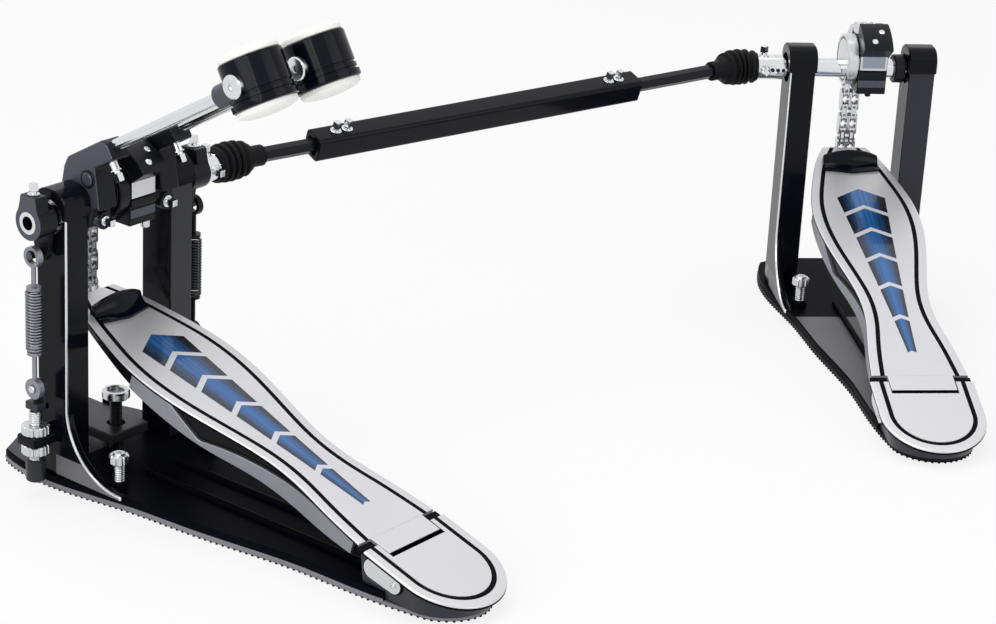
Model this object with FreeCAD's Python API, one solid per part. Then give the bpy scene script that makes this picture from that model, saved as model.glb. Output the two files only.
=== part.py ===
import FreeCAD, Part
import math
import os

V = FreeCAD.Vector
ORIGIN = V(0, 0, 0)
X_AXIS = V(1, 0, 0)
Y_AXIS = V(0, 1, 0)
Z_AXIS = V(0, 0, 1)

# Double bass drum pedal. Millimetres, +Z up, +Y towards the drum, +X along
# the main axle towards the second pedal. The floor is z = 0, and the origin
# lies under the middle of the main axle.

# General fits
running_gap = 0.08
side_gap = 0.3
loose_gap = 0.5

# Frame, the same for both pedals
axle_height = 180.0
axle_radius = 7.0
mat_thickness = 3.0
mat_inset = 0.6
plate_thickness = 6.0
base_half_width = 57.0
base_front = 58.0
base_heel_inset = 8.0
spine_offset = 12.0
spine_half_width = 2.0
spine_height = 3.0
spine_front = -40.0
spine_heel_gap = 14.0
front_lip_half_width = 32.0
post_offset = 44.75
post_width = 19.0
post_depth = 26.0
cap_extra = 1.0
cap_rise = 17.5
cap_corner = 5.0
bearing_radius = 11.0
bearing_width = 12.0
gusset_width = 6.0
gusset_reach = 47.0
gusset_rise = 44.0
gusset_toe = 3.0
spur_offset = 40.0
spur_y = -44.5
spur_top = 33.0
spur_radius = 3.4
spur_head_radius = 6.2
spur_head_height = 7.0
spur_boss_radius = 5.6
spur_boss_height = 5.0

# Footboard and heel
board_toe_gap = 10.7
board_toe_rise = 8.07
board_hinge_z = 34.7
board_thickness = 6.0
board_length = 267.0
board_half_width = 39.3
tongue_half_width = 22.8
tongue_reach = 17.0
board_start = 2.0
skirt_wall = 4.0
skirt_inset = 0.8
skirt_start = 12.0
skirt_toe_margin = 9.0
skirt_depth = 18.0
heel_half_width = 36.0
heel_straight = 41.7
heel_length = 70.7
heel_ear_end = -1.5
heel_rim = 3.0
heel_body_inset = 3.0
heel_foot_inset = 7.0
heel_seat = 18.7
heel_pocket_gap = 0.8
hinge_set_back = 6.7
hinge_drop = 9.7
hinge_pin_radius = 3.0
hinge_barrel_radius = 6.5
hinge_pin_inset = 8.0
hinge_cap_seat = 7.0
hinge_cap_thickness = 4.5
hinge_cap_front_radius = 6.5
hinge_cap_rear_radius = 5.5
hinge_cap_set_back = 11.2
hinge_cap_length = 16.5
hinge_cap_drop = 9.3
hinge_screw_radius = 2.2
hinge_screw_height = 1.0
stop_margin = 18.0
stop_length = 15.5
stop_half_width = 20.5
stop_height = 11.0
stop_lip = 2.0
stop_scoop = 3.0
stop_crown = 3.0
clevis_margin = 5.0
clevis_length = 20.0
clevis_plate = 4.0
clevis_ear = 3.0
clevis_eye_radius = 5.0
clevis_ear_depth = 8.5

# Chain and cam
chain_x = 3.0
chain_pitch = 9.525
chain_radius = 30.0
chain_run_links = 8
chain_free_links = 3
chain_wrap_links = 4
chain_plate_radius = 3.8
chain_plate = 1.0
chain_pin_radius = 1.4
chain_roller_radius = 2.6
strand_offset = 3.45
outer_plate_offset = 2.85
inner_plate_offset = 1.55
cam_low_radius = 23.0
cam_core_radius = 15.0
cam_core_left = -4.6
cam_core_right = 10.6
cam_flange_right = 17.0
cam_flange_radius = 33.0
cam_flat_y = -17.0
cam_window_half_height = 5.4
cam_window_rise = 9.5
cam_window_step = 1.5
cam_plate_left = -13.0
cam_plate_radius = 18.5
cam_plate_rise = 7.0
cam_low_deg = -24.0
cam_step_deg = 64.0
cam_top_deg = 140.0
cam_screw_gap_deg = 14.0
cam_screw_radius = 2.2
cam_screw_sink = 2.0
cam_screw_rise = 1.2

# Axles, hubs and rockers
axle_left_end = -73.0
spigot_radius = 4.0
spigot_length = 24.0
axle_split = 18.0
axle_bore_radius = 4.4
axle_bore_depth = 10.0
hub_inner = 19.0
hub_outer = 34.0
hub_ring_radius = 15.0
rod_line_offset = 25.2
rod_pitch_deg = 30.4
hub_low = -5.0
hub_reach = 48.0
hub_top = 31.0
hub_nose = 28.0
hub_lower_edge = 17.0
hub_web_reach = 20.0
hub_web_drop = -8.0
hub_back_edge = 12.0
hub_back_rise = 17.0
hub_bevel_along = 4.0
hub_bevel_rise = 27.0
hub_shoulder = 10.0
hub_disc_along = 20.7
hub_disc_out = 13.2
hub_disc_radius = 4.6
hub_disc_height = 0.8
hub_boss_radius = 5.6
hub_boss_face = -18.0
hub_boss_drop = 5.0
hub_flat_reach = 30.0
hub_chamfer = 4.0
rocker_inner = 63.0
rocker_outer = 72.5
rocker_radius = 11.0
rocker_top = 17.0
rocker_top_half_width = 7.0
rocker_arm_inner = 58.5
rocker_arm_outer = 62.5
rocker_arm_radius = 5.5
rocker_arm_half_width = 5.0
rocker_drop = 21.0
rocker_pin_radius = 2.5
rocker_pin_end = 72.0

# Beaters
beater_offset = 26.5
beater_rod_radius = 4.0
beater_rod_start = 8.0
head_distance = 180.8
head_radius = 19.5
head_length = 29.0
head_groove = 1.0
head_groove_width = 1.6
head_groove_edge = 4.0
face_radius = 18.5
face_edge = 2.5
face_height = 6.5
head_collar_radius = 6.0
head_collar_length = 8.0
head_screw_radius = 5.0
head_screw_height = 3.0

# Return springs
spring_x = 68.5
spring_hook = 21.6
spring_low_hook = 25.0
spring_pitch = 2.72
spring_coil_radius = 4.65
spring_wire_radius = 0.95
spring_low_pivot_z = 71.0
spring_link_half_width = 2.0
spring_eye_radius = 6.6
spring_eye_hole = 4.2
spring_eye_sag = 1.4
spring_stem_radius = 1.6
spring_plug_radius = 4.6
spring_plug_height = 2.0
spring_tip_gap = 0.25
quarters = 4
gap_samples = 24
bracket_z = 37.5
bracket_half_height = 3.5
bracket_half_depth = 8.0
bracket_reach = 77.0
tension_rod_radius = 4.0
tension_head_bottom = 57.0
tension_head_top = 62.5
tension_plate_outer = 65.5
tension_plate_inner = 61.5
tension_plate_radius = 5.5
nut_radius = 8.8
nut_height = 6.0
nut_slot_depth = 1.6
nut_slot_width = 2.4
nut_slot_count = 8
sleeve_radius = 6.2
sleeve_bottom = 9.5
sleeve_top = 24.0

# Hoop clamp
jaw_half_width = 16.0
jaw_back = -13.0
jaw_front = 60.0
jaw_bottom = 20.0
jaw_thickness = 7.0
jaw_pad_length = 16.0
jaw_pad_drop = 1.5
jaw_pivot_y = 24.0
jaw_pivot_z = 23.5
jaw_pin_radius = 3.0
lug_inner = 17.0
lug_outer = 22.0
lug_half_depth = 7.0
lug_top = 29.5
clamp_screw_y = 0.0
clamp_screw_radius = 4.0
clamp_screw_top = 44.0
clamp_hole_gap = 2.0
clamp_ring_radius = 9.0
clamp_ring_bore = 5.0
clamp_ring_height = 6.0
clamp_foot_gap = 0.3

# Drive-key screws
key_collar_radius = 3.6
key_collar_height = 2.5
key_head_width = 4.6
key_head_height = 6.0
key_seat_depth = 0.8

# Driveshaft and second pedal
slave_x = 592.8
slave_y = -165.6
slave_yaw_deg = -44.06
main_joint_x = 98.0
slave_joint_x = -91.0
yoke_radius = 9.2
yoke_face = 11.0
main_yoke_back = 25.0
slave_yoke_back = 33.0
prong_inner = 4.8
prong_outer = 8.2
prong_half_width = 3.0
prong_tip = 2.6
prong_hole_radius = 2.4
cross_pin_radius = 1.8
cross_pin_half = 8.0
cross_core_radius = 3.4
shaft_hub_radius = 8.0
shaft_hub_end = 15.0
shaft_rod_flats = 9.0
tube_width = 17.0
tube_corner = 2.5
tube_start = 66.0
tube_end = 342.0
tube_roll_deg = 18.0
tube_key_insets = (17.0, 26.0)
main_rod_end = 106.0
slave_rod_start = 200.0
boot_mouth = 14.0
boot_bore_radius = 10.2
boot_valley_radius = 11.5
boot_peak_radius = 13.4
boot_neck_radius = 7.6
boot_end = 17.5
boot_neck_end = 27.0
boot_bend = 8.0
boot_mouth_radius = 12.2
collar_left = 25.0
collar_right = 33.0
collar_radius = 10.5
slave_axle_right = 56.0

# Shapes given as shares of the sizes above
base_outline_shares = ((0.88, 0.972), (1.0, 0.838), (0.965, 0.781), (0.851, 0.669),
                       (0.763, 0.516), (0.596, 0.305), (0.572, 0.182), (0.474, 0.05))
board_outline_shares = ((0.85, 0.0), (0.75, 0.12), (0.657, 0.206), (0.644, 0.318), (0.738, 0.404),
                        (0.916, 0.532), (1.0, 0.637), (0.967, 0.74), (0.814, 0.845), (0.61, 0.944),
                        (0.43, 1.0))
skirt_depth_shares = ((0.0, 0.45), (0.2, 0.72), (0.48, 1.0), (0.76, 0.67), (1.0, 0.5))
gusset_curve_share = 0.3
half_share = 0.5
rocker_foot_share = 0.85
boot_rib_shares = (0.0, 0.25, 0.62, 0.87)
boot_taper_shares = (0.0, 0.0, 0.0, 0.25, 1.0)

plate_top = mat_thickness + plate_thickness
clevis_pin_z = axle_height - chain_run_links * chain_pitch
pitch = math.asin((clevis_pin_z + board_toe_rise - board_hinge_z) / board_length)
board_hinge_y = chain_radius - board_toe_gap - board_length * math.cos(pitch)
skirt_end = board_length - skirt_toe_margin
stop_end = board_length - stop_margin
stop_start = stop_end - stop_length
clevis_end = board_length - clevis_margin
clevis_start = clevis_end - clevis_length
hinge_y = board_hinge_y - hinge_set_back
hinge_z = board_hinge_z - hinge_drop
heel_straight_end = board_hinge_y - heel_straight
heel_nose = board_hinge_y - heel_length
base_back = heel_nose + base_heel_inset
heel_seat_y = board_hinge_y - heel_seat
spine_back = board_hinge_y + spine_heel_gap
spring_bottom_z = spring_low_pivot_z + spring_low_hook
spring_top_z = axle_height - rocker_drop - spring_eye_sag - spring_hook
spring_turns = round((spring_top_z - spring_bottom_z - 2 * spring_wire_radius) / spring_pitch)
rod_pitch = math.radians(rod_pitch_deg)
chain_step = 2 * math.asin(chain_pitch * half_share / chain_radius)
cam_drum_radius = chain_radius * math.cos(chain_step * half_share) - chain_plate_radius - running_gap
nodes = {}


def box(low, high):
    return Part.makeBox(high[0] - low[0], high[1] - low[1], high[2] - low[2], V(*low))


def rod_x(x_start, x_end, y, z, radius):
    return Part.makeCylinder(radius, x_end - x_start, V(x_start, y, z), X_AXIS)


def rod_z(x, y, z_start, z_end, radius):
    return Part.makeCylinder(radius, z_end - z_start, V(x, y, z_start), Z_AXIS)


def prism_x(points, x_start, x_end):
    corners = [V(x_start, y, z) for y, z in points]
    face = Part.Face(Part.makePolygon(corners + corners[:1]))
    return face.extrude(V(x_end - x_start, 0, 0))


def join(first, *others):
    return first.multiFuse(list(others)).removeSplitter()


def group(*shapes):
    return Part.makeCompound(list(shapes))


def mirror_x(shape):
    return shape.mirror(ORIGIN, X_AXIS)


def both_sides(shape):
    return group(shape, mirror_x(shape))


def spline(points):
    curve = Part.BSplineCurve()
    curve.interpolate(points)
    return curve.toShape()


def line(start, end):
    return Part.LineSegment(start, end).toShape()


def to_slave(shape):
    placed = shape.copy()
    placed.rotate(ORIGIN, Z_AXIS, slave_yaw_deg)
    placed.translate(V(slave_x, slave_y, 0))
    return placed


def from_board(shape):
    # Board frame: x across, y up the board, z out of its top face.
    placed = shape.copy()
    placed.rotate(ORIGIN, X_AXIS, math.degrees(pitch))
    placed.translate(V(0, board_hinge_y, board_hinge_z))
    return placed


def board_coordinates(y, z):
    across = y - board_hinge_y
    up = z - board_hinge_z
    along = across * math.cos(pitch) + up * math.sin(pitch)
    out = up * math.cos(pitch) - across * math.sin(pitch)
    return along, out


def swing_point(along, out):
    # Beater frame: along the rod from the axle, and square to it.
    y = out * math.sin(rod_pitch) - along * math.cos(rod_pitch)
    z = along * math.sin(rod_pitch) + out * math.cos(rod_pitch)
    return y, axle_height + z


def key_screw(point, direction):
    collar = Part.makeCylinder(key_collar_radius, key_collar_height, ORIGIN, Z_AXIS)
    half = key_head_width * half_share
    head = box((-half, -half, key_collar_height), (half, half, key_collar_height + key_head_height))
    screw = join(collar, head)
    turn = FreeCAD.Rotation(Z_AXIS, V(*direction))
    screw.Placement = FreeCAD.Placement(V(*point), turn)
    return screw


def base_outline(inset, z):
    length = base_front - base_back
    side = [V(share * base_half_width - inset, base_back + along * length, z)
            for share, along in base_outline_shares]
    other = [V(-point.x, point.y, z) for point in side]
    lip_y = base_front - inset
    lip = front_lip_half_width - inset
    nose = V(0, base_back + inset, z)
    edges = [spline(side), Part.Arc(side[-1], nose, other[-1]).toShape(), spline(other[::-1]),
             line(other[0], V(-lip, lip_y, z)), line(V(-lip, lip_y, z), V(lip, lip_y, z)),
             line(V(lip, lip_y, z), side[0])]
    return Part.Face(Part.Wire(edges))


def build_mat():
    return base_outline(mat_inset, 0).extrude(V(0, 0, mat_thickness))


def spur_holes(radius, z_start, z_end):
    return [rod_z(side * spur_offset, spur_y, z_start, z_end, radius) for side in (-1, 1)]


def build_base(with_lugs):
    plate = base_outline(0, mat_thickness).extrude(V(0, 0, plate_thickness))
    bosses = spur_holes(spur_boss_radius, mat_thickness, plate_top + spur_boss_height)
    spines = [box((side * spine_offset - spine_half_width, spine_back, mat_thickness),
                  (side * spine_offset + spine_half_width, spine_front, plate_top + spine_height))
              for side in (-1, 1)]
    plate = join(plate, *bosses, *spines)
    # The plate ends under the heel, which stands on the mat behind it.
    plate = plate.cut(box((-base_half_width, heel_nose, mat_thickness),
                          (base_half_width, heel_seat_y, plate_top)))
    if with_lugs:
        lug = box((lug_inner, jaw_pivot_y - lug_half_depth, mat_thickness),
                  (lug_outer, jaw_pivot_y + lug_half_depth, lug_top))
        bore_radius = jaw_pin_radius + running_gap
        pivot = rod_x(-base_half_width, base_half_width, jaw_pivot_y, jaw_pivot_z, bore_radius)
        plate = join(plate, lug, mirror_x(lug)).cut(pivot)
    return plate.cut(Part.makeCompound(spur_holes(spur_radius + running_gap, mat_thickness,
                                                  plate_top + spur_boss_height)))


def build_spurs():
    spurs = []
    for side in (-1, 1):
        x = side * spur_offset
        shaft = rod_z(x, spur_y, mat_thickness, spur_top, spur_radius)
        head = rod_z(x, spur_y, spur_top - spur_head_height, spur_top, spur_head_radius)
        half = spur_radius * half_share
        slots = [box((x - spur_head_radius, spur_y - half, spur_top - spur_radius),
                     (x + spur_head_radius, spur_y + half, spur_top)),
                 box((x - half, spur_y - spur_head_radius, spur_top - spur_radius),
                     (x + half, spur_y + spur_head_radius, spur_top))]
        spurs.append(join(shaft, head).cut(Part.makeCompound(slots)))
    return group(*spurs)


def build_post():
    inner = post_offset - post_width * half_share
    outer = post_offset + post_width * half_share
    half = post_depth * half_share
    column = box((inner, -half, plate_top), (outer, half, axle_height))
    toe = V(outer, -half - gusset_reach, plate_top + gusset_toe)
    peak = V(outer, -half, plate_top + gusset_rise)
    middle = V(outer, -half - gusset_reach * gusset_curve_share,
               plate_top + gusset_toe + (gusset_rise - gusset_toe) * gusset_curve_share)
    edges = [Part.Arc(toe, middle, peak).toShape(), line(peak, V(outer, -half, plate_top)),
             line(V(outer, -half, plate_top), V(outer, -half - gusset_reach, plate_top)),
             line(V(outer, -half - gusset_reach, plate_top), toe)]
    gusset = Part.Face(Part.Wire(edges)).extrude(V(-gusset_width, 0, 0))
    seat = rod_x(inner, outer, 0, axle_height, bearing_radius)
    return join(column, gusset).cut(seat)


def build_caps():
    inner = post_offset - post_width * half_share - cap_extra
    outer = post_offset + post_width * half_share + cap_extra
    half = post_depth * half_share + cap_extra
    block = box((inner, -half, axle_height), (outer, half, axle_height + cap_rise))
    middle_z = axle_height + cap_rise * half_share
    top_edges = [edge for edge in block.Edges
                 if edge.BoundBox.ZMin > middle_z and edge.BoundBox.XLength > cap_extra]
    cap = block.makeFillet(cap_corner, top_edges)
    cap = cap.cut(rod_x(inner, outer, 0, axle_height, bearing_radius))
    start = post_offset - bearing_width * half_share
    ring = rod_x(start, start + bearing_width, 0, axle_height, bearing_radius)
    ring = ring.cut(rod_x(start, start + bearing_width, 0, axle_height, axle_radius + running_gap))
    return group(cap, ring, mirror_x(cap), mirror_x(ring))


def board_top(y):
    return board_hinge_z + (y - board_hinge_y) * math.tan(pitch)


def heel_plan(inset, z):
    ear_y = board_hinge_y + heel_ear_end * math.cos(pitch)
    half = heel_half_width - inset
    right = V(half, ear_y, z)
    left = V(-half, ear_y, z)
    right_end = V(half, heel_straight_end, z)
    left_end = V(-half, heel_straight_end, z)
    nose = Part.Arc(right_end, V(0, heel_nose + inset, z), left_end).toShape()
    return Part.Wire([line(left, right), line(right, right_end), nose, line(left_end, left)])


def build_heel():
    # A top plate whose rim stands out over a body that draws in towards its foot.
    ear_y = board_hinge_y + heel_ear_end * math.cos(pitch)
    upper = [(ear_y, board_top(ear_y)), (heel_nose, board_top(heel_nose))]
    under = [(y, z - heel_rim) for y, z in upper]
    rim = prism_x(upper + under[::-1], -heel_half_width, heel_half_width)
    rim = rim.common(Part.Face(heel_plan(0, 0)).extrude(V(0, 0, board_hinge_z)))
    profile = [(ear_y, plate_top)] + under + [(heel_nose, mat_thickness), (heel_seat_y, mat_thickness),
                                              (heel_seat_y, plate_top)]
    foot = heel_plan(heel_foot_inset, mat_thickness)
    drawn = Part.makeLoft([foot, heel_plan(heel_body_inset, board_hinge_z)], True, True)
    body = prism_x(profile, -heel_half_width, heel_half_width).common(drawn)
    pocket_half = tongue_half_width + heel_pocket_gap
    pocket_y = board_hinge_y - (tongue_reach + heel_pocket_gap) * math.cos(pitch) - heel_pocket_gap
    pocket = box((-pocket_half, pocket_y, plate_top), (pocket_half, ear_y, board_hinge_z))
    pin_end = heel_half_width - hinge_pin_inset
    bore = rod_x(-pin_end, pin_end, hinge_y, hinge_z, hinge_pin_radius)
    return join(rim, body).cut(pocket).cut(bore).cut(hinge_cap()).cut(mirror_x(hinge_cap()))


def hinge_cap():
    # A plate with two round ends, let into the heel's side on the +X side.
    start = heel_half_width - hinge_cap_seat
    end = start + hinge_cap_thickness
    front_y = board_hinge_y - hinge_cap_set_back
    rear_y = front_y - hinge_cap_length
    front_z = board_top(front_y) - hinge_cap_drop
    rear_z = board_top(rear_y) - hinge_cap_drop
    reach = math.hypot(hinge_cap_length, front_z - rear_z)
    slope = math.atan2(front_z - rear_z, hinge_cap_length)
    lean = math.acos((hinge_cap_front_radius - hinge_cap_rear_radius) / reach)
    corners = [(y + radius * math.cos(slope + turn), z + radius * math.sin(slope + turn))
               for y, z, radius, turn in ((front_y, front_z, hinge_cap_front_radius, lean),
                                          (rear_y, rear_z, hinge_cap_rear_radius, lean),
                                          (rear_y, rear_z, hinge_cap_rear_radius, -lean),
                                          (front_y, front_z, hinge_cap_front_radius, -lean))]
    return join(prism_x(corners, start, end), rod_x(start, end, front_y, front_z, hinge_cap_front_radius),
                rod_x(start, end, rear_y, rear_z, hinge_cap_rear_radius))


def build_hinge_pin():
    pin_end = heel_half_width - hinge_pin_inset
    pin = rod_x(-pin_end, pin_end, hinge_y, hinge_z, hinge_pin_radius)
    face = heel_half_width - hinge_cap_seat + hinge_cap_thickness
    rear_y = board_hinge_y - hinge_cap_set_back - hinge_cap_length
    rear_z = board_top(rear_y) - hinge_cap_drop
    cap = join(hinge_cap(), rod_x(face, face + hinge_screw_height, rear_y, rear_z, hinge_screw_radius))
    return group(pin, cap, mirror_x(cap))


def board_face(inset, start, end, out):
    span = board_length - board_start
    side = [V(share * board_half_width - inset, board_start + along * span, out)
            for share, along in board_outline_shares]
    other = [V(-point.x, point.y, out) for point in side]
    edges = [spline(side), line(side[-1], other[-1]), spline(other[::-1]), line(other[0], side[0])]
    face = Part.Face(Part.Wire(edges))
    limit = box((-board_half_width, start, out - skirt_wall), (board_half_width, end, out + skirt_wall))
    return face.common(limit).Faces[0]


def build_footboard():
    plate = board_face(0, board_start, board_length, -board_thickness).extrude(V(0, 0, board_thickness))
    tongue = box((-tongue_half_width, -tongue_reach, -board_thickness), (tongue_half_width, board_start, 0))
    deep = skirt_depth
    outer = board_face(skirt_inset, skirt_start, skirt_end, -deep).extrude(V(0, 0, deep - board_thickness))
    inner = board_face(skirt_inset + skirt_wall, board_start, board_length, -deep)
    hollow = inner.extrude(V(0, 0, deep - board_thickness))
    span = skirt_end - skirt_start
    lower = [(skirt_start + along * span, -share * deep) for along, share in skirt_depth_shares]
    profile = [(skirt_end, 0), (skirt_start, 0)] + lower
    side_view = prism_x(profile, -board_half_width, board_half_width)
    skirt = outer.cut(hollow).common(side_view)
    along, out = board_coordinates(hinge_y, hinge_z)
    barrel_half = tongue_half_width - side_gap
    barrel = rod_x(-barrel_half, barrel_half, along, out, hinge_barrel_radius)
    bore = rod_x(-board_half_width, board_half_width, along, out, hinge_pin_radius + running_gap)
    below_top = box((-barrel_half, -board_length, -board_length), (barrel_half, board_length, 0))
    barrel = barrel.common(below_top)
    return from_board(join(plate, tongue, skirt, barrel).cut(bore))


def build_toe_bracket():
    stop_profile = [(stop_start, 0), (stop_end, 0), (stop_end, stop_height),
                    (stop_end - stop_lip, stop_height), (stop_start, stop_lip)]
    stop = prism_x(stop_profile, -stop_half_width, stop_half_width)
    run = stop_length - stop_lip
    rise = stop_height - stop_lip
    chord = math.hypot(run, rise)
    scoop_radius = (chord * chord * half_share * half_share + stop_scoop * stop_scoop) / (2 * stop_scoop)
    away = (scoop_radius - stop_scoop) / chord
    stop = stop.cut(rod_x(-stop_half_width, stop_half_width, stop_start + run * half_share - rise * away,
                          stop_lip + rise * half_share + run * away, scoop_radius))
    crown_radius = (stop_half_width * stop_half_width + stop_crown * stop_crown) / (2 * stop_crown)
    stop = stop.common(Part.makeCylinder(crown_radius, stop_length,
                                         V(0, stop_start, stop_height - crown_radius), V(0, 1, 0)))
    along, out = board_coordinates(chain_radius, clevis_pin_z)
    half_gap = strand_offset + outer_plate_offset + chain_plate * half_share + loose_gap
    under = -board_thickness
    left = chain_x - half_gap - clevis_ear
    right = chain_x + half_gap + clevis_ear
    plate = box((left, clevis_start, under - clevis_plate), (right, clevis_end, under))
    parts = []
    for start in (left, right - clevis_ear):
        parts.append(box((start, clevis_start, under - clevis_ear_depth),
                         (start + clevis_ear, along, under)))
        parts.append(rod_x(start, start + clevis_ear, along, out, clevis_eye_radius))
    pin = rod_x(left, right, along, out, chain_pin_radius)
    return from_board(group(stop, join(plate, pin, *parts)))


def chain_pin_position(index):
    # Pins count upwards from the tangent point; negative ones hang below it.
    if index <= 0:
        return chain_radius, axle_height + index * chain_pitch
    angle = index * chain_step
    return chain_radius * math.cos(angle), axle_height + chain_radius * math.sin(angle)


def link_plates(lower, upper, offset):
    y_low, z_low = lower
    y_high, z_high = upper
    length = math.hypot(y_high - y_low, z_high - z_low)
    tilt = math.degrees(math.atan2(y_low - y_high, z_high - z_low))
    plates = []
    for strand in (-strand_offset, strand_offset):
        for side in (-offset, offset):
            start = chain_x + strand + side - chain_plate * half_share
            bar = box((start, -chain_plate_radius, 0), (start + chain_plate, chain_plate_radius, length))
            ends = [rod_x(start, start + chain_plate, 0, height, chain_plate_radius)
                    for height in (0, length)]
            plate = join(bar, *ends)
            plate.rotate(ORIGIN, X_AXIS, tilt)
            plate.translate(V(0, y_low, z_low))
            plates.append(plate)
    return plates


def chain_pin(position):
    reach = strand_offset + outer_plate_offset + chain_plate * half_share
    return rod_x(chain_x - reach, chain_x + reach, position[0], position[1], chain_pin_radius)


def rollers(position):
    return [rod_x(chain_x + strand - inner_plate_offset, chain_x + strand + inner_plate_offset,
                  position[0], position[1], chain_roller_radius)
            for strand in (-strand_offset, strand_offset)]


def link_offset(index):
    # Odd links, counted by their upper pin, have outer plates.
    return outer_plate_offset if index % 2 else inner_plate_offset


def pin_hole(position):
    reach = strand_offset + outer_plate_offset + chain_plate
    radius = chain_pin_radius + running_gap
    return rod_x(chain_x - reach, chain_x + reach, position[0], position[1], radius)


def build_chain_run():
    # The top pin belongs to the first free link.
    parts = []
    for index in range(1 - chain_run_links, 1):
        position = chain_pin_position(index)
        parts.extend(link_plates(chain_pin_position(index - 1), position, link_offset(index)))
        parts.extend(rollers(position))
        if index < 0:
            parts.append(chain_pin(position))
    foot = chain_pin_position(-chain_run_links)
    top = chain_pin_position(0)
    return join(parts[0], *parts[1:]).cut(Part.makeCompound([pin_hole(foot), pin_hole(top)]))


def build_chain_link(index):
    # Outer links carry the pins. Inner links turn on them, one for each strand.
    lower = chain_pin_position(index - 1)
    upper = chain_pin_position(index)
    parts = link_plates(lower, upper, link_offset(index))
    if index % 2:
        parts.append(chain_pin(lower))
        if index < chain_free_links:
            parts.append(chain_pin(upper))
        return join(parts[0], *parts[1:])
    parts.extend(rollers(lower))
    parts.extend(rollers(upper))
    return join(parts[0], *parts[1:]).cut(Part.makeCompound([pin_hole(lower), pin_hole(upper)]))


def build_chain_wrap():
    parts = []
    first = chain_free_links + 1
    last = chain_free_links + chain_wrap_links
    parts.extend(rollers(chain_pin_position(chain_free_links)))
    for index in range(first, last + 1):
        lower = chain_pin_position(index - 1)
        upper = chain_pin_position(index)
        parts.extend(link_plates(lower, upper, link_offset(index)))
        parts.append(chain_pin(upper))
        parts.extend(rollers(upper))
    return join(parts[0], *parts[1:])


def arc_sector(radius, start_deg, end_deg, x_start, x_end):
    middle_deg = (start_deg + end_deg) * half_share
    angles = [math.radians(angle) for angle in (start_deg, middle_deg, end_deg)]
    points = [V(x_start, radius * math.cos(angle), axle_height + radius * math.sin(angle))
              for angle in angles]
    hub = V(x_start, 0, axle_height)
    edges = [Part.Arc(*points).toShape(), line(points[2], hub), line(hub, points[0])]
    return Part.Face(Part.Wire(edges)).extrude(V(x_end - x_start, 0, 0))


def build_cam():
    low = arc_sector(cam_low_radius, cam_low_deg, cam_step_deg, cam_core_left, cam_core_right)
    high = arc_sector(cam_drum_radius, cam_step_deg, cam_top_deg, cam_core_left, cam_core_right)
    flange = arc_sector(cam_flange_radius, cam_low_deg, cam_top_deg, cam_core_right, cam_flange_right)
    core = rod_x(cam_core_left, cam_flange_right, 0, axle_height, cam_core_radius)
    front = box((cam_core_left, cam_flat_y, axle_height - cam_core_radius),
                (cam_flange_right, 0, axle_height + cam_core_radius))
    window = box((cam_core_left + cam_window_step, cam_flat_y - cam_window_step,
                  axle_height + cam_window_rise - cam_window_half_height),
                 (cam_flange_right - cam_window_step, cam_flat_y,
                  axle_height + cam_window_rise + cam_window_half_height))
    plate = rod_x(cam_plate_left, cam_core_left, 0, axle_height + cam_plate_rise, cam_plate_radius)
    bore = rod_x(cam_plate_left, cam_flange_right, 0, axle_height, axle_radius)
    return join(core, front, low, high, flange, window, plate).cut(bore)


def hub_outline(points):
    return [swing_point(along, out) for along, out in points]


def build_hub():
    # Built on the +X side; the other one is its mirror image.
    ring = rod_x(hub_inner, hub_outer, 0, axle_height, hub_ring_radius)
    nose = [(hub_reach - hub_chamfer, hub_top), (hub_reach, hub_nose), (hub_reach, hub_lower_edge),
            (hub_flat_reach, hub_lower_edge)]
    back = [(hub_low, hub_back_edge), (hub_low, hub_back_rise), (hub_bevel_along, hub_bevel_rise),
            (hub_shoulder, hub_top)]
    tower = prism_x(hub_outline(back + nose + [(hub_web_reach, hub_web_drop)]), hub_inner, hub_outer)
    disc = rod_x(hub_outer, hub_outer + hub_disc_height, *swing_point(hub_disc_along, hub_disc_out),
                 hub_disc_radius)
    boss = Part.makeCylinder(hub_boss_radius, -hub_boss_face,
                             V(beater_offset, 0, axle_height - hub_boss_drop), V(0, -1, 0))
    bore = rod_x(hub_inner, hub_outer, 0, axle_height, axle_radius)
    start = swing_point(-hub_reach, rod_line_offset)
    end = swing_point(2 * hub_reach, rod_line_offset)
    direction = V(0, end[0] - start[0], end[1] - start[1])
    hole = Part.makeCylinder(beater_rod_radius + running_gap, direction.Length,
                             V(beater_offset, *start), direction)
    return join(ring, tower, boss, disc).cut(bore).cut(hole)


def hub_screws():
    lower = key_screw((beater_offset, hub_boss_face, axle_height - hub_boss_drop), (0, -1, 0))
    along = (hub_reach + hub_flat_reach) * half_share
    point = swing_point(along, hub_lower_edge)
    tail = swing_point(along, hub_lower_edge - hub_lower_edge * half_share)
    upper = key_screw((beater_offset, *point), (0, tail[0] - point[0], tail[1] - point[1]))
    return [lower, upper]


def cam_screws():
    # Two screws that hold the chain's end on the cam's flange.
    screws = []
    x = (cam_core_right + cam_flange_right) * half_share
    for turn_deg in (cam_top_deg - cam_screw_gap_deg, cam_top_deg - 2 * cam_screw_gap_deg):
        angle = math.radians(turn_deg)
        direction = (0, math.cos(angle), math.sin(angle))
        start = cam_flange_radius - cam_screw_sink
        foot = V(x, start * direction[1], axle_height + start * direction[2])
        length = cam_screw_sink + cam_screw_rise
        screws.append(Part.makeCylinder(cam_screw_radius, length, foot, V(*direction)))
    return screws


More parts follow.
